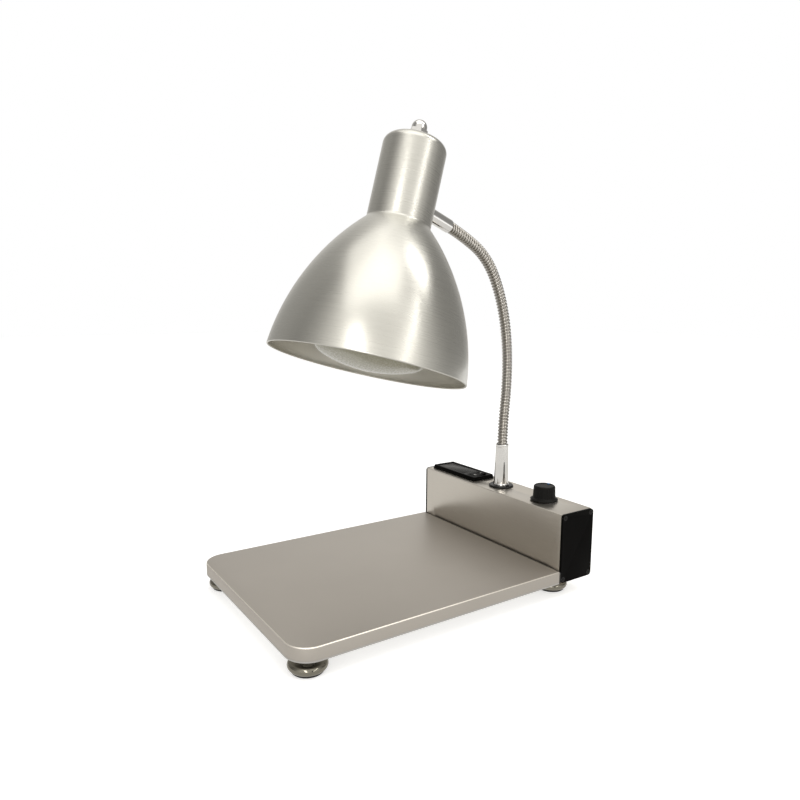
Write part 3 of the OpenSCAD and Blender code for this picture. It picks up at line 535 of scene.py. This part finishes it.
@dataclass(frozen=True)
class Moulded:
    """Moulded plastic, rubber, paint or glaze.

    Attributes:
        name: the material's name.
        colour: its colour.
        roughness: the middle of its roughness.
        grain: how fine its surface grain is.
        depth: how deep the grain is.
        coat: the weight of a clear glossy layer over it.
        fleck: how much lighter the scattered flecks in it are.
        gloss: the strength of its reflections, 0.5 for common plastic.
    """

    name: str
    colour: Colour
    roughness: float
    grain: float = 900.0
    depth: float = 0.02 * MM
    coat: float = 0.0
    fleck: float = 0.0
    gloss: float = 0.5

    def material(self) -> bpy.types.Material:
        """Builds the material.

        Returns:
            The material.
        """
        g = Graph(self.name)
        grain = g.noise(self.grain, 3.0, 0.6)
        tone = g.clouded(g.noise(40.0), self.colour, 0.85, 1.12)
        if self.fleck:
            spots = g.noise(620.0, 2.0)
            light = tuple(c + self.fleck for c in self.colour)
            tone = g.mixed(g.ranged(spots, 0.0, 1.0, (0.62, 0.68)), tone, light)
        g.base(base_color=tone,
               roughness=g.ranged(grain, self.roughness - 0.07, self.roughness + 0.07),
               normal=g.bump(grain, 0.5, self.depth), specular_ior_level=self.gloss,
               coat_weight=self.coat, coat_roughness=0.06)
        return g.material


@dataclass(frozen=True)
class LampGlass:
    """Blown glass of a reflector bulb: a pearl face, coloured darker as painted shade, and a silvered flank.

    Attributes:
        name: the material's name.
        face: the colour of the frosted face, painted shade: much darker than frosted glass, for the bulb
            deep inside the shade.
        silver: the colour of the silvered flank.
        rim_height: how far up the bulb's axis the silvering starts.
    """

    name: str
    # Painted shade: the face colour is far darker than pale frosted glass, for the shade that the bulb sits
    # in.
    face: Colour = (0.33, 0.32, 0.245)
    silver: Colour = (0.80, 0.80, 0.78)
    rim_height: float = 0.022

    def material(self, axes: Matrix) -> bpy.types.Material:
        """Builds the material.

        Args:
            axes: the bulb's own axes, with Z up its axis from its face.

        Returns:
            The material.
        """
        g = Graph(self.name)
        height = g.add("SeparateXYZ", {"Vector": g.coords(axes)}).outputs["Z"]
        silvered = g.ranged(height, 0.0, 1.0, (self.rim_height - MM, self.rim_height + MM))
        frost = g.noise(500.0)
        # The face's pearl colour carries painted shade, darker than the glass itself.
        pearl = g.clouded(g.noise(35.0, 2.0), self.face, 0.9)
        g.base(base_color=g.mixed(silvered, pearl, self.silver), metallic=silvered,
               roughness=g.ranged(frost, 0.2, 0.32), normal=g.bump(frost, 0.35, 0.02 * MM),
               coat_weight=0.35, coat_roughness=0.05)
        return g.material


@dataclass(frozen=True)
class BoardGreen:
    """Circuit board with copper tracks under green lacquer.

    Attributes:
        name: the material's name.
        lacquer: the lacquer's colour.
        track: the colour where a copper track lies under it.
    """

    name: str
    lacquer: Colour = (0.012, 0.10, 0.035)
    track: Colour = (0.03, 0.20, 0.07)

    def material(self) -> bpy.types.Material:
        """Builds the material.

        Returns:
            The material.
        """
        g = Graph(self.name)
        cells = g.add("TexVoronoi", {"Vector": g.coords(), "Scale": 160.0}, distance="MANHATTAN")
        tracks = g.ranged(cells.outputs["Distance"], 0.0, 1.0, (0.42, 0.46))
        g.base(base_color=g.mixed(tracks, self.lacquer, self.track), roughness=0.3,
               normal=g.bump(tracks, 0.4, 0.04 * MM), coat_weight=0.4)
        return g.material


class Finish(Enum):
    """The lamp's finishes. Most are named as the material slots of the record."""

    # The plate's sloping edges carry a painted highlight.
    ANODISED_PLATE = BrushedMetal("satin_anodised_plate", (0.535, 0.50, 0.455), 0.47,
                                  (700, 700, 700), 0.008 * MM, bright_edge=True)
    ANODISED_BOX = BrushedMetal("drawn_anodised_box", (0.66, 0.622, 0.562), 0.34,
                                (90, 900, 900), 0.010 * MM)
    RAW_ALUMINIUM = BrushedMetal("mill_aluminium", (0.55, 0.54, 0.52), 0.42, (60, 800, 800))
    BLACK_PLASTIC = Moulded("black_moulding", (0.0032, 0.003, 0.0028), 0.5, 1500.0, gloss=0.03)
    KNOB_BLACK = Moulded("knob_black", (0.009, 0.0088, 0.0082), 0.42, 1500.0, gloss=0.10)
    PANEL_GLOSS = Moulded("panel_black", (0.004, 0.0037, 0.0034), 0.28, 700.0, 0.004 * MM,
                          gloss=0.02)
    DISPLAY_WINDOW = Moulded("smoked_window", (0.009, 0.0082, 0.0072), 0.28, 500.0, 0.004 * MM,
                             0.04, 0.02, 0.08)
    BLACK_METAL = Moulded("black_lacquer", (0.006, 0.0056, 0.0052), 0.32, 600.0, 0.006 * MM,
                          0.04, gloss=0.2)
    MARK_WHITE = Moulded("mark_white", (0.62, 0.61, 0.58), 0.4)
    BLUE_MARK = Moulded("blue_mark", (0.03, 0.17, 0.42), 0.35)
    SEAL_RUBBER = Moulded("seal_rubber", (0.012, 0.011, 0.010), 0.7, 800.0, 0.05 * MM)
    POLISHED_CHROME = PlatedMetal("polished_chrome", (0.80, 0.79, 0.77), 0.07, 0.03)
    COIL_CHROME = PlatedMetal("coil_plating", (0.44, 0.42, 0.39), 0.12, 0.05)
    # Painted shade: the feet's chrome is darkened well below polished chrome, for the shade and dark
    # reflections under the plate.
    FOOT_STEEL = PlatedMetal("foot_steel", (0.25, 0.235, 0.195), 0.10)
    ZINC_STEEL = PlatedMetal("zinc_plating", (0.60, 0.60, 0.60), 0.32, 0.08, 0.02 * MM)
    CORE_STEEL = PlatedMetal("blued_spring", (0.10, 0.10, 0.10), 0.35, 0.08)
    BRASS = PlatedMetal("brass", (0.74, 0.55, 0.26), 0.28, 0.08)
    BOARD = BoardGreen("board_lacquer")
    TERMINALS = Moulded("terminal_green", (0.05, 0.22, 0.11), 0.4)
    PORCELAIN = Moulded("porcelain", (0.80, 0.78, 0.72), 0.18, 300.0, 0.01 * MM, 0.5)


# The nodes whose finish is not that of their slot: a glossier black knob, and feet whose chrome is darkened
# as painted shade.
NODE_FINISHES = {"dimmer_knob": Finish.KNOB_BLACK} | {
    f"foot_{corner}": Finish.FOOT_STEEL
    for corner in ("front_left", "front_right", "rear_left", "rear_right")}


class Finishes:
    """All materials of the lamp, each made once."""

    def __init__(self) -> None:
        """Makes every finish of the lamp."""
        self.made = {kind: kind.value.material() for kind in Finish}

    def of(self, kind: Finish) -> bpy.types.Material:
        """Looks up one finish's material."""
        return self.made[kind]

    def dress_frame(self) -> None:
        """Gives each CAD node its own finish, or the one that its slot names."""
        slots = material_slots()
        known = {kind.name.lower(): kind for kind in Finish}
        for node, obj in frame["nodes"].items():
            kind = NODE_FINISHES.get(node, known.get(slots[node]))
            if kind is not None:
                dress(obj, self.of(kind))


# ------ flexible neck


@dataclass
class Neck:
    """The wound flexible neck: a round outer wire and a filler wire seated in its gaps.

    Attributes:
        length: the neck's length between its two hinge ends.
        bends: how far each section bends, in degrees, from the box to the head.
        swing: the angle that the plane of bending is turned to the right.
        outer: the winding's outer radius.
        wire: the round wire's radius.
        turns: the turns over the whole length.
        filler: the filler wire's radius.
        filler_inset: how far the filler lies inside the round wire's centre line.
        reach: the half length over which a joint's bend is spread.
        rings: points on the wire in each turn.
        resolution: the extra points on each quarter of the round wire's girth.
        filler_resolution: the same for the filler wire.
        frames: the frame at each hinge, worked out from the rest.
    """

    length: float = 0.326
    bends: tuple[float, ...] = (-7, 10, 13, 17, 32, 8)
    swing: float = 12.2
    outer: float = 6.7 * MM
    wire: float = 1.4 * MM
    turns: int = 80
    filler: float = 0.95 * MM
    filler_inset: float = 0.75 * MM
    reach: float = 0.014
    rings: int = 26
    resolution: int = 3
    filler_resolution: int = 2
    frames: list[Matrix] = field(init=False)

    def __post_init__(self) -> None:
        """Works out the frame at each hinge, from the box upwards."""
        start = Matrix.Translation(joint_place("neck_root_bend"))
        self.frames = [start @ rotation(self.swing - 90, "Z")]
        for bend in self.bends:
            self.frames.append(self.frames[-1] @ self.arc_frame(bend, self.section))

    @property
    def section(self) -> float:
        """The length of one section."""
        return self.length / len(self.bends)

    def arc_frame(self, bend: float, along: float) -> Matrix:
        """The frame at a distance along one bent section, in the section's own frame.

        Args:
            bend: the section's whole bend in degrees.
            along: the distance from the section's start.

        Returns:
            The frame there, with Z along the neck.
        """
        angle = math.radians(bend) * along / self.section
        radius = self.section / math.radians(bend)
        shift = Vector((radius * (1 - math.cos(angle)), 0, radius * math.sin(angle)))
        return Matrix.Translation(shift) @ Matrix.Rotation(angle, 4, "Y")

    def frame_at(self, along: float) -> Matrix:
        """The frame at a distance from the first hinge, with Z along the neck."""
        index = min(int(along / self.section), len(self.bends) - 1)
        return self.frames[index] @ self.arc_frame(self.bends[index], along - index * self.section)

    def helix(self, start: float, end: float, radius: float, phase: float) -> list[Vector]:
        """Points of a wire's centre line.

        Args:
            start: the distance along the neck where the stretch begins.
            end: the distance where it ends.
            radius: the winding's radius at the wire's centre.
            phase: the part of a turn by which the wire is shifted.

        Returns:
            The points in the model's frame.
        """
        pitch = self.length / self.turns
        count = max(2, round((end - start) / pitch * self.rings))
        points = []
        for i in range(count + 1):
            along = start + (end - start) * i / count
            turn = math.tau * (along / pitch + phase)
            offset = Vector((radius * math.cos(turn), radius * math.sin(turn), 0))
            points.append(self.frame_at(along) @ offset)
        return points

    def wire_piece(self, name: str, points: Sequence[Vector], radius: float,
                   resolution: int) -> Piece:
        """Sweeps a round wire along points and makes it a mesh.

        Args:
            name: the piece's name.
            points: the wire's centre line.
            radius: the wire's radius.
            resolution: the extra points on each quarter of its girth.

        Returns:
            The wire as a mesh.
        """
        curve = bpy.data.curves.new(name, "CURVE")
        curve.dimensions = "3D"
        curve.bevel_depth = radius
        curve.bevel_resolution = resolution
        curve.use_fill_caps = True
        spline = curve.splines.new("POLY")
        spline.points.add(len(points) - 1)
        for target, point in zip(spline.points, points):
            target.co = (*point, 1.0)
        make_active(linked(name, curve))
        bpy.ops.object.convert(target="MESH")
        obj = bpy.context.object
        obj.name = obj.data.name = name
        smooth(obj, 60.0)
        return obj

    def build(self, finishes: Finishes) -> None:
        """Winds both wires, in stretches that each bend at the hinge in their middle.

        Args:
            finishes: the lamp's materials.
        """
        bodies = ["base", *(f"neck_{k + 1}" for k in range(len(self.bends))), "head"]
        winding = self.outer - self.wire
        for hinge in range(len(self.bends) + 1):
            start = max(0.0, (hinge - 0.5) * self.section)
            end = min(self.length, (hinge + 0.5) * self.section)
            round_wire = self.wire_piece(
                f"neck_wire_{hinge}", self.helix(start, end, winding, 0.0),
                self.wire, self.resolution)
            filler = self.wire_piece(
                f"neck_filler_{hinge}",
                self.helix(start, end, winding - self.filler_inset, 0.5),
                self.filler, self.filler_resolution)
            at = self.frames[hinge]
            before = at @ Vector((0, 0, -self.reach))
            after = at @ Vector((0, 0, self.reach))
            for piece in (round_wire, filler):
                dress(piece, finishes.of(Finish.COIL_CHROME))
                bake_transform(piece, bodies[hinge], bodies[hinge + 1], before, after)
            if hinge > 0:
                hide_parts(f"neck_winding_{hinge}")
            LOG.info("neck stretch %d of %d", hinge + 1, len(bodies) - 1)


# ------ head


@dataclass
class Head:
    """The shade with its bulb, all turned about one tilted axis.

    Attributes:
        rim: the shade's radius at its rim.
        bell: the bell's height from rim to shoulder.
        lean: the lean of the bell's wall at the rim, in degrees.
        collar: the collar's radius.
        collar_height: the collar's height above the shoulder.
        sheet: the spun sheet's thickness.
        shoulder: the radius where bell and collar meet.
        crown: the radius round the collar's upper edge.
        bead: the radius of the rim's rolled edge.
        stem: the radius of the hole for the stem.
        socket_height: how far up the axis the record's bulb socket lies.
        bulb: the bulb's largest radius.
        bulb_length: the bulb's length over its cap.
        bulb_drop: how far the bulb's face stands below the rim.
        face_height: the depth of the bulb's domed face.
        face_flat: how much less than that the radius of its edge is.
        above_flank: the bulb's length above its flank.
        neck: the radius of the bulb's neck.
        neck_round: the radius where the neck closes over the cap.
        cap: the cap's length.
        cap_radius: the cap's radius.
        cap_overlap: how far the glass reaches into the cap.
    """

    rim: float = 0.102
    bell: float = 0.149
    lean: float = 5.0
    collar: float = 0.0335
    collar_height: float = 0.089
    sheet: float = 1.2 * MM
    shoulder: float = 5 * MM
    crown: float = 9 * MM
    bead: float = 0.9 * MM
    stem: float = 5.2 * MM
    socket_height: float = 0.150
    bulb: float = 0.0625
    bulb_length: float = 0.181
    bulb_drop: float = 4 * MM
    face_height: float = 0.029
    face_flat: float = 7 * MM
    above_flank: float = 0.095
    neck: float = 0.020
    neck_round: float = 6 * MM
    cap: float = 0.027
    cap_radius: float = 0.0122
    cap_overlap: float = 2 * MM

    @property
    def axes(self) -> Matrix:
        """The shade's own axes: Z up its axis from the centre of its rim."""
        mount = named(frame["record"]["mounts"], "bulb_socket")
        up = -Vector(mount["axis"]).normalized()
        across = Vector((0, 0, 1)).cross(up).normalized()
        forward = across.cross(up).normalized()
        origin = Vector(mount["pos_m"]) - up * self.socket_height
        turn = Matrix((forward, across, up)).transposed()
        return Matrix.Translation(origin) @ turn.to_4x4()

    def bell_arc(self) -> tuple[Point2, float]:
        """The bell's arc, from its height, its widths and its lean.

        Returns:
            The arc's centre and its radius.
        """
        run = self.rim - self.collar
        lean = math.radians(self.lean)
        radius = (run ** 2 + self.bell ** 2) / (
            2 * (run * math.cos(lean) - self.bell * math.sin(lean)))
        return (self.rim - radius * math.cos(lean), -radius * math.sin(lean)), radius

    def skin(self, inset: float) -> list[Point2]:
        """Half profile of the shade's skin, from its rim up to the stem's hole.

        Args:
            inset: how far the skin lies inside the outer one.

        Returns:
            The profile's points.
        """
        centre, radius = self.bell_arc()
        fillet = (self.collar + self.shoulder,
                  centre[1] + math.sqrt((radius + self.shoulder) ** 2
                                        - (self.collar + self.shoulder - centre[0]) ** 2))
        meet = math.degrees(math.atan2(fillet[1] - centre[1], fillet[0] - centre[0]))
        top = self.bell + self.collar_height
        points = arc(centre, radius - inset, self.lean, meet, 40)
        points += arc(fillet, self.shoulder + inset, meet + 180, 180, 8)[1:]
        points += arc((self.collar - self.crown, top - self.crown), self.crown - inset, 0, 90, 12)
        points.append((self.stem, top - inset))
        return points

    def build_shade(self) -> None:
        """Turns the shade's sheet, its rolled rim included."""
        outer, inner = self.skin(0.0), self.skin(self.sheet)
        middle = (self.rim - self.bead, self.bead)
        rim_edge = arc(middle, self.bead, -200, 20, 9)
        profile = [*inner[:0:-1], *rim_edge, *outer[1:], inner[-1]]
        shade = turned("shade_spun", profile, 160)
        wrap_uv(shade)
        spun = BrushedMetal("spun_aluminium", (0.59, 0.58, 0.535), 0.29, (9, 9, 3200),
                            0.004 * MM, 0.45, True, 0.25)
        inside = BrushedMetal("spun_inside", (0.58, 0.56, 0.50), 0.42, (9, 9, 2400),
                              0.006 * MM, 0.3, True)
        place(shade, self.axes)
        dress(shade, spun.material(self.axes), inside.material(self.axes))
        self.mark_inside(shade)
        smooth(shade, 40.0)
        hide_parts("shade")
        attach(shade, "head")
        LOG.info("shade")

    def mark_inside(self, shade: Piece) -> None:
        """Gives the shade's inner faces their own finish.

        Args:
            shade: the shade in its place.
        """
        to_own = self.axes.inverted()
        for polygon in shade.data.polygons:
            centre = to_own @ polygon.center
            normal = to_own.to_3x3() @ polygon.normal
            outward = Vector((centre.x, centre.y, self.sheet)).normalized()
            polygon.material_index = 1 if normal.dot(outward) < -0.2 else 0

    def build_bulb(self) -> None:
        """Turns the reflector bulb's envelope, with the ring of its moulded edge."""
        width, height = self.bulb, self.face_height
        edge = height - self.face_flat
        edge_x = width - edge
        face = (edge_x ** 2 + height ** 2 - edge ** 2) / (2 * (height - edge))
        lean = math.degrees(math.asin(edge_x / (face - edge)))
        flank = self.bulb_length - self.above_flank
        flank_in = width - self.neck
        flank_r = (flank_in ** 2 + flank ** 2) / (2 * flank_in)
        sweep = math.degrees(math.asin(flank / flank_r))
        profile = [(0.0, 0.0), *arc((0, face), face, -90, lean - 90, 16)[1:]]
        profile += arc((edge_x, height), edge, lean - 90, 0, 14)[1:]
        profile += arc((width - flank_r, height), flank_r, 0, sweep, 24)[1:]
        cap, closing = self.bulb_length - self.cap, self.neck_round
        profile += [(self.neck, cap - closing),
                    *arc((self.neck - closing, cap - closing), closing, 0, 80, 6)]
        profile += [(self.cap_radius, cap), (self.cap_radius, cap + self.cap_overlap),
                    (0.0, cap + self.cap_overlap)]
        bulb = turned("bulb_envelope", profile, 128)
        own = self.axes @ Matrix.Translation((0, 0, -self.bulb_drop))
        place(bulb, own)
        dress(bulb, LampGlass("pearl_bulb_glass").material(own))
        smooth(bulb, 50.0)
        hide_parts("bulb_glass")
        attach(bulb, "head")
        LOG.info("bulb")

    def build(self) -> None:
        """Builds the head's new pieces, whose finishes follow its own axes."""
        self.build_shade()
        self.build_bulb()


# ------ base


@dataclass
class Base:
    """Plate, control box and what is fixed to them, with softened edges.

    Attributes:
        roundings: the CAD nodes that are copied with rounded edges, and their width in mm.
    """

    roundings: tuple[tuple[str, float], ...] = (
        ("base_plate", 0.25), ("box_profile", 0.25), ("end_cap_left", 0.5),
        ("end_cap_right", 0.5), ("panel_frame", 0.35), ("panel_window", 0.2),
        ("switch_frame", 0.3), ("inlet_body", 0.4), ("neck_flange", 0.15))

    def build(self, finishes: Finishes) -> None:
        """Copies the nodes with their edges rounded and dresses them.

        Args:
            finishes: the lamp's materials.
        """
        slots = material_slots()
        for node, width in self.roundings:
            piece = softened(node, width * MM)
            dress(piece, finishes.of(Finish[slots[node].upper()]))
            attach(piece, body_of(frame["nodes"][node])[0])
            LOG.info("%s", node)


@dataclass
class SwitchMarks:
    """Generic on and off marks printed on the rocker switch.

    Attributes:
        lean: the angle at which the rocker rests, in degrees.
        offset: how far each mark lies from the middle of the rocker.
        height: the rocker's surface above its pivot at the marks.
        slope: the angle of its hollow face there, in degrees.
        length: the length of the bar and the width of the ring.
        line: the width of their lines.
        raised: how far they stand out.
    """

    lean: float = 7.0
    offset: float = 5.0 * MM
    height: float = 4.41 * MM
    slope: float = 7.2
    length: float = 3.2 * MM
    line: float = 0.7 * MM
    raised: float = 0.06 * MM

    def spot(self, side: int) -> Matrix:
        """The place of a mark on the rocker's face.

        Args:
            side: 1 for the mark towards the back, -1 for the other.

        Returns:
            The transform from the mark's own axes to the model's frame.
        """
        return (Matrix.Translation(joint_place("switch_rock"))
                @ rotation(self.lean, "X")
                @ Matrix.Translation((0, side * self.offset, self.height))
                @ rotation(side * self.slope, "X"))

    def build(self, finishes: Finishes) -> None:
        """Makes a bar and a ring and lays them on the rocker.

        Args:
            finishes: the lamp's materials.
        """
        deselect_all()
        bpy.ops.mesh.primitive_cube_add(size=1.0, location=(0, 0, 0))
        bar = bpy.context.object
        bar.scale = (self.line, self.length, 2 * self.raised)
        bpy.ops.object.transform_apply(scale=True)
        rounding = bar.modifiers.new("rounding", "BEVEL")
        rounding.width = self.raised
        rounding.segments = 2
        apply_modifiers(bar)
        outer, inner = self.length / 2, self.length / 2 - self.line
        step = self.raised / 2
        ring = turned("switch_mark_off", [
            (inner, -self.raised), (outer, -self.raised), (outer, step),
            (outer - step, self.raised), (inner + step, self.raised), (inner, step),
            (inner, -self.raised)], 40)
        for name, piece, side in (("switch_mark_on", bar, 1), ("switch_mark_off", ring, -1)):
            piece.name = piece.data.name = name
            place(piece, self.spot(side))
            smooth(piece, 60.0)
            dress(piece, finishes.of(Finish.MARK_WHITE))
            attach(piece, "rocker")
        LOG.info("switch marks")


# ------ studio


@dataclass(frozen=True)
class SoftLight:
    """One soft rectangular light that faces the lamp.

    Attributes:
        name: the light's name.
        right: its direction, in degrees to the camera's right.
        height: its height above the floor.
        distance: its distance from the lamp's axis.
        size: its width and height.
        power: its power in watts.
        lean: how far its top leans to the camera's right, in degrees.
        colour: its colour.
        aim: the point that it faces.
    """

    name: str
    right: float
    height: float
    distance: float
    size: Point2
    power: float
    lean: float = 0.0
    colour: Colour = (1.0, 0.985, 0.955)
    aim: Point3 = (0.0, -0.02, 0.22)

    def hang(self, azimuth: float) -> None:
        """Hangs the light.

        Args:
            azimuth: the camera's direction round the lamp, in degrees.
        """
        data = bpy.data.lights.new(self.name, "AREA")
        data.shape = "RECTANGLE"
        data.size, data.size_y = self.size
        data.energy = self.power
        data.color = self.colour
        light = linked(self.name, data)
        around = math.radians(azimuth + self.right)
        where = Vector((math.sin(around) * self.distance, -math.cos(around) * self.distance,
                        self.height))
        light.location = where
        light.rotation_mode = "QUATERNION"
        light.rotation_quaternion = ((Vector(self.aim) - where).to_track_quat("-Z", "Y")
                                     @ Quaternion((0, 0, 1), math.radians(-self.lean)))


@dataclass
class Studio:
    """Floor, lights and camera, none of which belongs to the lamp.

    Attributes:
        camera_place: where the camera stands.
        azimuth: the camera's direction round the lamp, in degrees.
        elevation: how far it looks down, in degrees.
        roll: how far it is turned about its own axis, in degrees.
        lens: its lens in millimetres, on a 36 mm sensor.
        floor_size: the floor's side.
        floor_glow: how much the floor glows where the background shows.
        world_light: the strength of the light from all round.
        lights: the soft lights.
        tent: the radius of the grey tent that reflections see.
        levels: its brightness by direction, in degrees to the camera's right.
        floor_level: the brightness of the floor near the lamp, as reflections see it.
        floor_card: the radius of that part of the floor.
        card_height: how far its card lies above the floor.
        board_right: the dark board's direction, in degrees to the camera's right.
        board_place: its distance from the lamp's axis and its height.
        board_size: its width and height.
        board_level: its brightness.
    """

    camera_place: Point3 = (0.6299, -0.4173, 0.3346)
    azimuth: float = 56.146
    elevation: float = 8.44
    roll: float = 0.4
    lens: float = 30.34
    floor_size: float = 12.0
    floor_glow: float = 0.5
    world_light: float = 0.55
    lights: tuple[SoftLight, ...] = (
        SoftLight("key", -6, 1.0, 1.9, (0.34, 1.6), 9, -16),
        SoftLight("fill", 49, 1.1, 1.9, (0.12, 2.0), 4.2, 40),
        SoftLight("high", 93, 2.2, 1.5, (0.6, 1.0), 8),
        SoftLight("overhead", 0, 1.9, 0.3, (1.6, 1.6), 9))
    tent: float = 3.2
    levels: tuple[Point2, ...] = (
        (-180, 0.82), (-160, 0.76), (-135, 0.44), (-104, 0.40), (-86, 0.25), (-62, 0.42),
        (-36, 1.0), (58, 1.0), (76, 0.60), (96, 0.28), (140, 0.30), (160, 0.76), (180, 0.82))
    floor_level: float = 0.8
    floor_card: float = 1.0
    card_height: float = 0.4 * MM
    board_right: float = 26.0
    board_place: Point2 = (1.3, 0.30)
    board_size: Point2 = (0.16, 0.6)
    board_level: float = 0.02

    def camera(self) -> None:
        """Sets up the camera at the photograph's viewing angle."""
        data = bpy.data.cameras.new("camera")
        data.lens = self.lens
        data.sensor_width = 36.0
        data.clip_start, data.clip_end = 0.01, 100.0
        camera = linked("camera", data)
        camera.matrix_world = (
            Matrix.Translation(self.camera_place)
            @ rotation(self.azimuth, "Z") @ rotation(90 - self.elevation, "X")
            @ rotation(self.roll, "Z"))
        bpy.context.scene.camera = camera

    def backdrop(self, g: Graph, plain: Socket, seen: Socket) -> None:
        """Shows one shader where the background is seen and another to all other rays.

        Args:
            g: the graph of the world or the floor.
            plain: the shader that lights the scene.
            seen: the shader for camera, glossy and transmission rays.
        """
        path = g.add("LightPath").outputs
        ray = path["Is Camera Ray"]
        for kind in ("Is Glossy Ray", "Is Transmission Ray"):
            ray = g.add("Math", {0: ray, 1: path[kind]}, operation="MAXIMUM").outputs[0]
        g.show(g.add("MixShader", {0: ray, 1: plain, 2: seen}))

    def world(self) -> None:
        """Sets a white background over a softer light for everything else."""
        world = bpy.data.worlds.new("studio")
        bpy.context.scene.world = world
        g = Graph("studio", world)
        background = g.tree.nodes["Background"]
        g.put(background.inputs["Color"], (1.0, 0.99, 0.97, 1))
        g.put(background.inputs["Strength"], self.world_light)
        seen = g.add("Background", {"Color": (1, 1, 1, 1)})
        self.backdrop(g, background.outputs[0], seen.outputs[0])

    def floor(self) -> None:
        """Lays the pale floor, which keeps the lamp's shadow."""
        deselect_all()
        bpy.ops.mesh.primitive_plane_add(size=self.floor_size, location=(0, 0, 0))
        floor = bpy.context.object
        floor.name = "studio_floor"
        g = Graph("studio_floor")
        g.base(base_color=(0.86, 0.86, 0.855, 1), roughness=0.9)
        plain = g.shader.outputs[0]
        glow = g.add("Emission", {"Color": (1, 1, 1, 1), "Strength": self.floor_glow})
        seen = g.add("AddShader", {0: plain, 1: glow.outputs[0]})
        self.backdrop(g, plain, seen.outputs[0])
        dress(floor, g.material)

    def card(self, name: str, level: Callable[[Graph], float | Socket],
             obj: Piece) -> None:
        """Makes an object a grey card that only reflections see.

        Args:
            name: the card's name.
            level: builds the card's brightness in its graph.
            obj: the card's mesh.
        """
        obj.name = obj.data.name = name
        g = Graph(name)
        g.show(g.add("Emission", {"Color": (1, 0.98, 0.94, 1), "Strength": level(g)}))
        dress(obj, g.material)
        for ray in ("camera", "diffuse", "shadow", "transmission"):
            setattr(obj, "visible_" + ray, False)

    def cards(self) -> None:
        """Puts up a grey tent, a card under the lamp and a dark board in front."""
        deselect_all()
        bpy.ops.mesh.primitive_uv_sphere_add(segments=64, ring_count=32, radius=self.tent,
                                             location=(0, 0, 0))
        tent = bpy.context.object
        edit_all()
        bpy.ops.mesh.bisect(plane_co=(0, 0, 0), plane_no=(0, 0, 1), clear_inner=True)
        bpy.ops.object.mode_set(mode="OBJECT")
        self.card("tent_card", self.tent_level, tent)
        deselect_all()
        bpy.ops.mesh.primitive_circle_add(vertices=48, radius=self.floor_card,
                                          fill_type="NGON", location=(0, 0, self.card_height))
        under = bpy.context.object
        place(under, under.matrix_world.copy())
        self.card("floor_card", lambda g: self.floor_level, under)
        deselect_all()
        bpy.ops.mesh.primitive_plane_add(size=1.0, location=(0, 0, 0))
        board = bpy.context.object
        distance, height = self.board_place
        place(board, rotation(self.azimuth + self.board_right, "Z")
              @ Matrix.Translation((0, -distance, height)) @ rotation(90, "X")
              @ Matrix.Diagonal((*self.board_size, 1, 1)))
        self.card("dark_board", lambda g: self.board_level, board)

    def tent_level(self, g: Graph) -> Socket:
        """The tent's brightness, which changes with the direction from the lamp.

        Args:
            g: the card's graph.

        Returns:
            The brightness socket.
        """
        turn = g.add("Mapping", {"Vector": g.coords(),
                                 "Rotation": (0, 0, math.radians(90 - self.azimuth))})
        direction = g.add("TexGradient", {"Vector": turn.outputs["Vector"]},
                          gradient_type="RADIAL")
        ramp = g.add("ValToRGB", {"Fac": direction.outputs[1]})
        stops = ramp.color_ramp.elements
        for end in (0, -1):
            level = self.levels[end][1]
            stops[end].color = (level, level, level, 1)
        for angle, level in self.levels[1:-1]:
            stops.new(0.5 + angle / 360).color = (level, level, level, 1)
        return ramp.outputs["Color"]

    def build(self) -> None:
        """Builds the whole studio."""
        self.camera()
        self.world()
        self.floor()
        self.cards()
        for light in self.lights:
            light.hang(self.azimuth)
        bpy.context.scene.view_settings.view_transform = "Standard"
        LOG.info("studio")


# ------ all together


def main() -> None:
    """Builds the lamp's looks round the frame, and the studio round the lamp."""
    logging.basicConfig(level=logging.INFO, format="%(message)s")
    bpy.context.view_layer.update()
    Studio().build()
    finishes = Finishes()
    finishes.dress_frame()
    Base().build(finishes)
    SwitchMarks().build(finishes)
    Neck().build(finishes)
    Head().build()


if __name__ == "__main__":
    main()
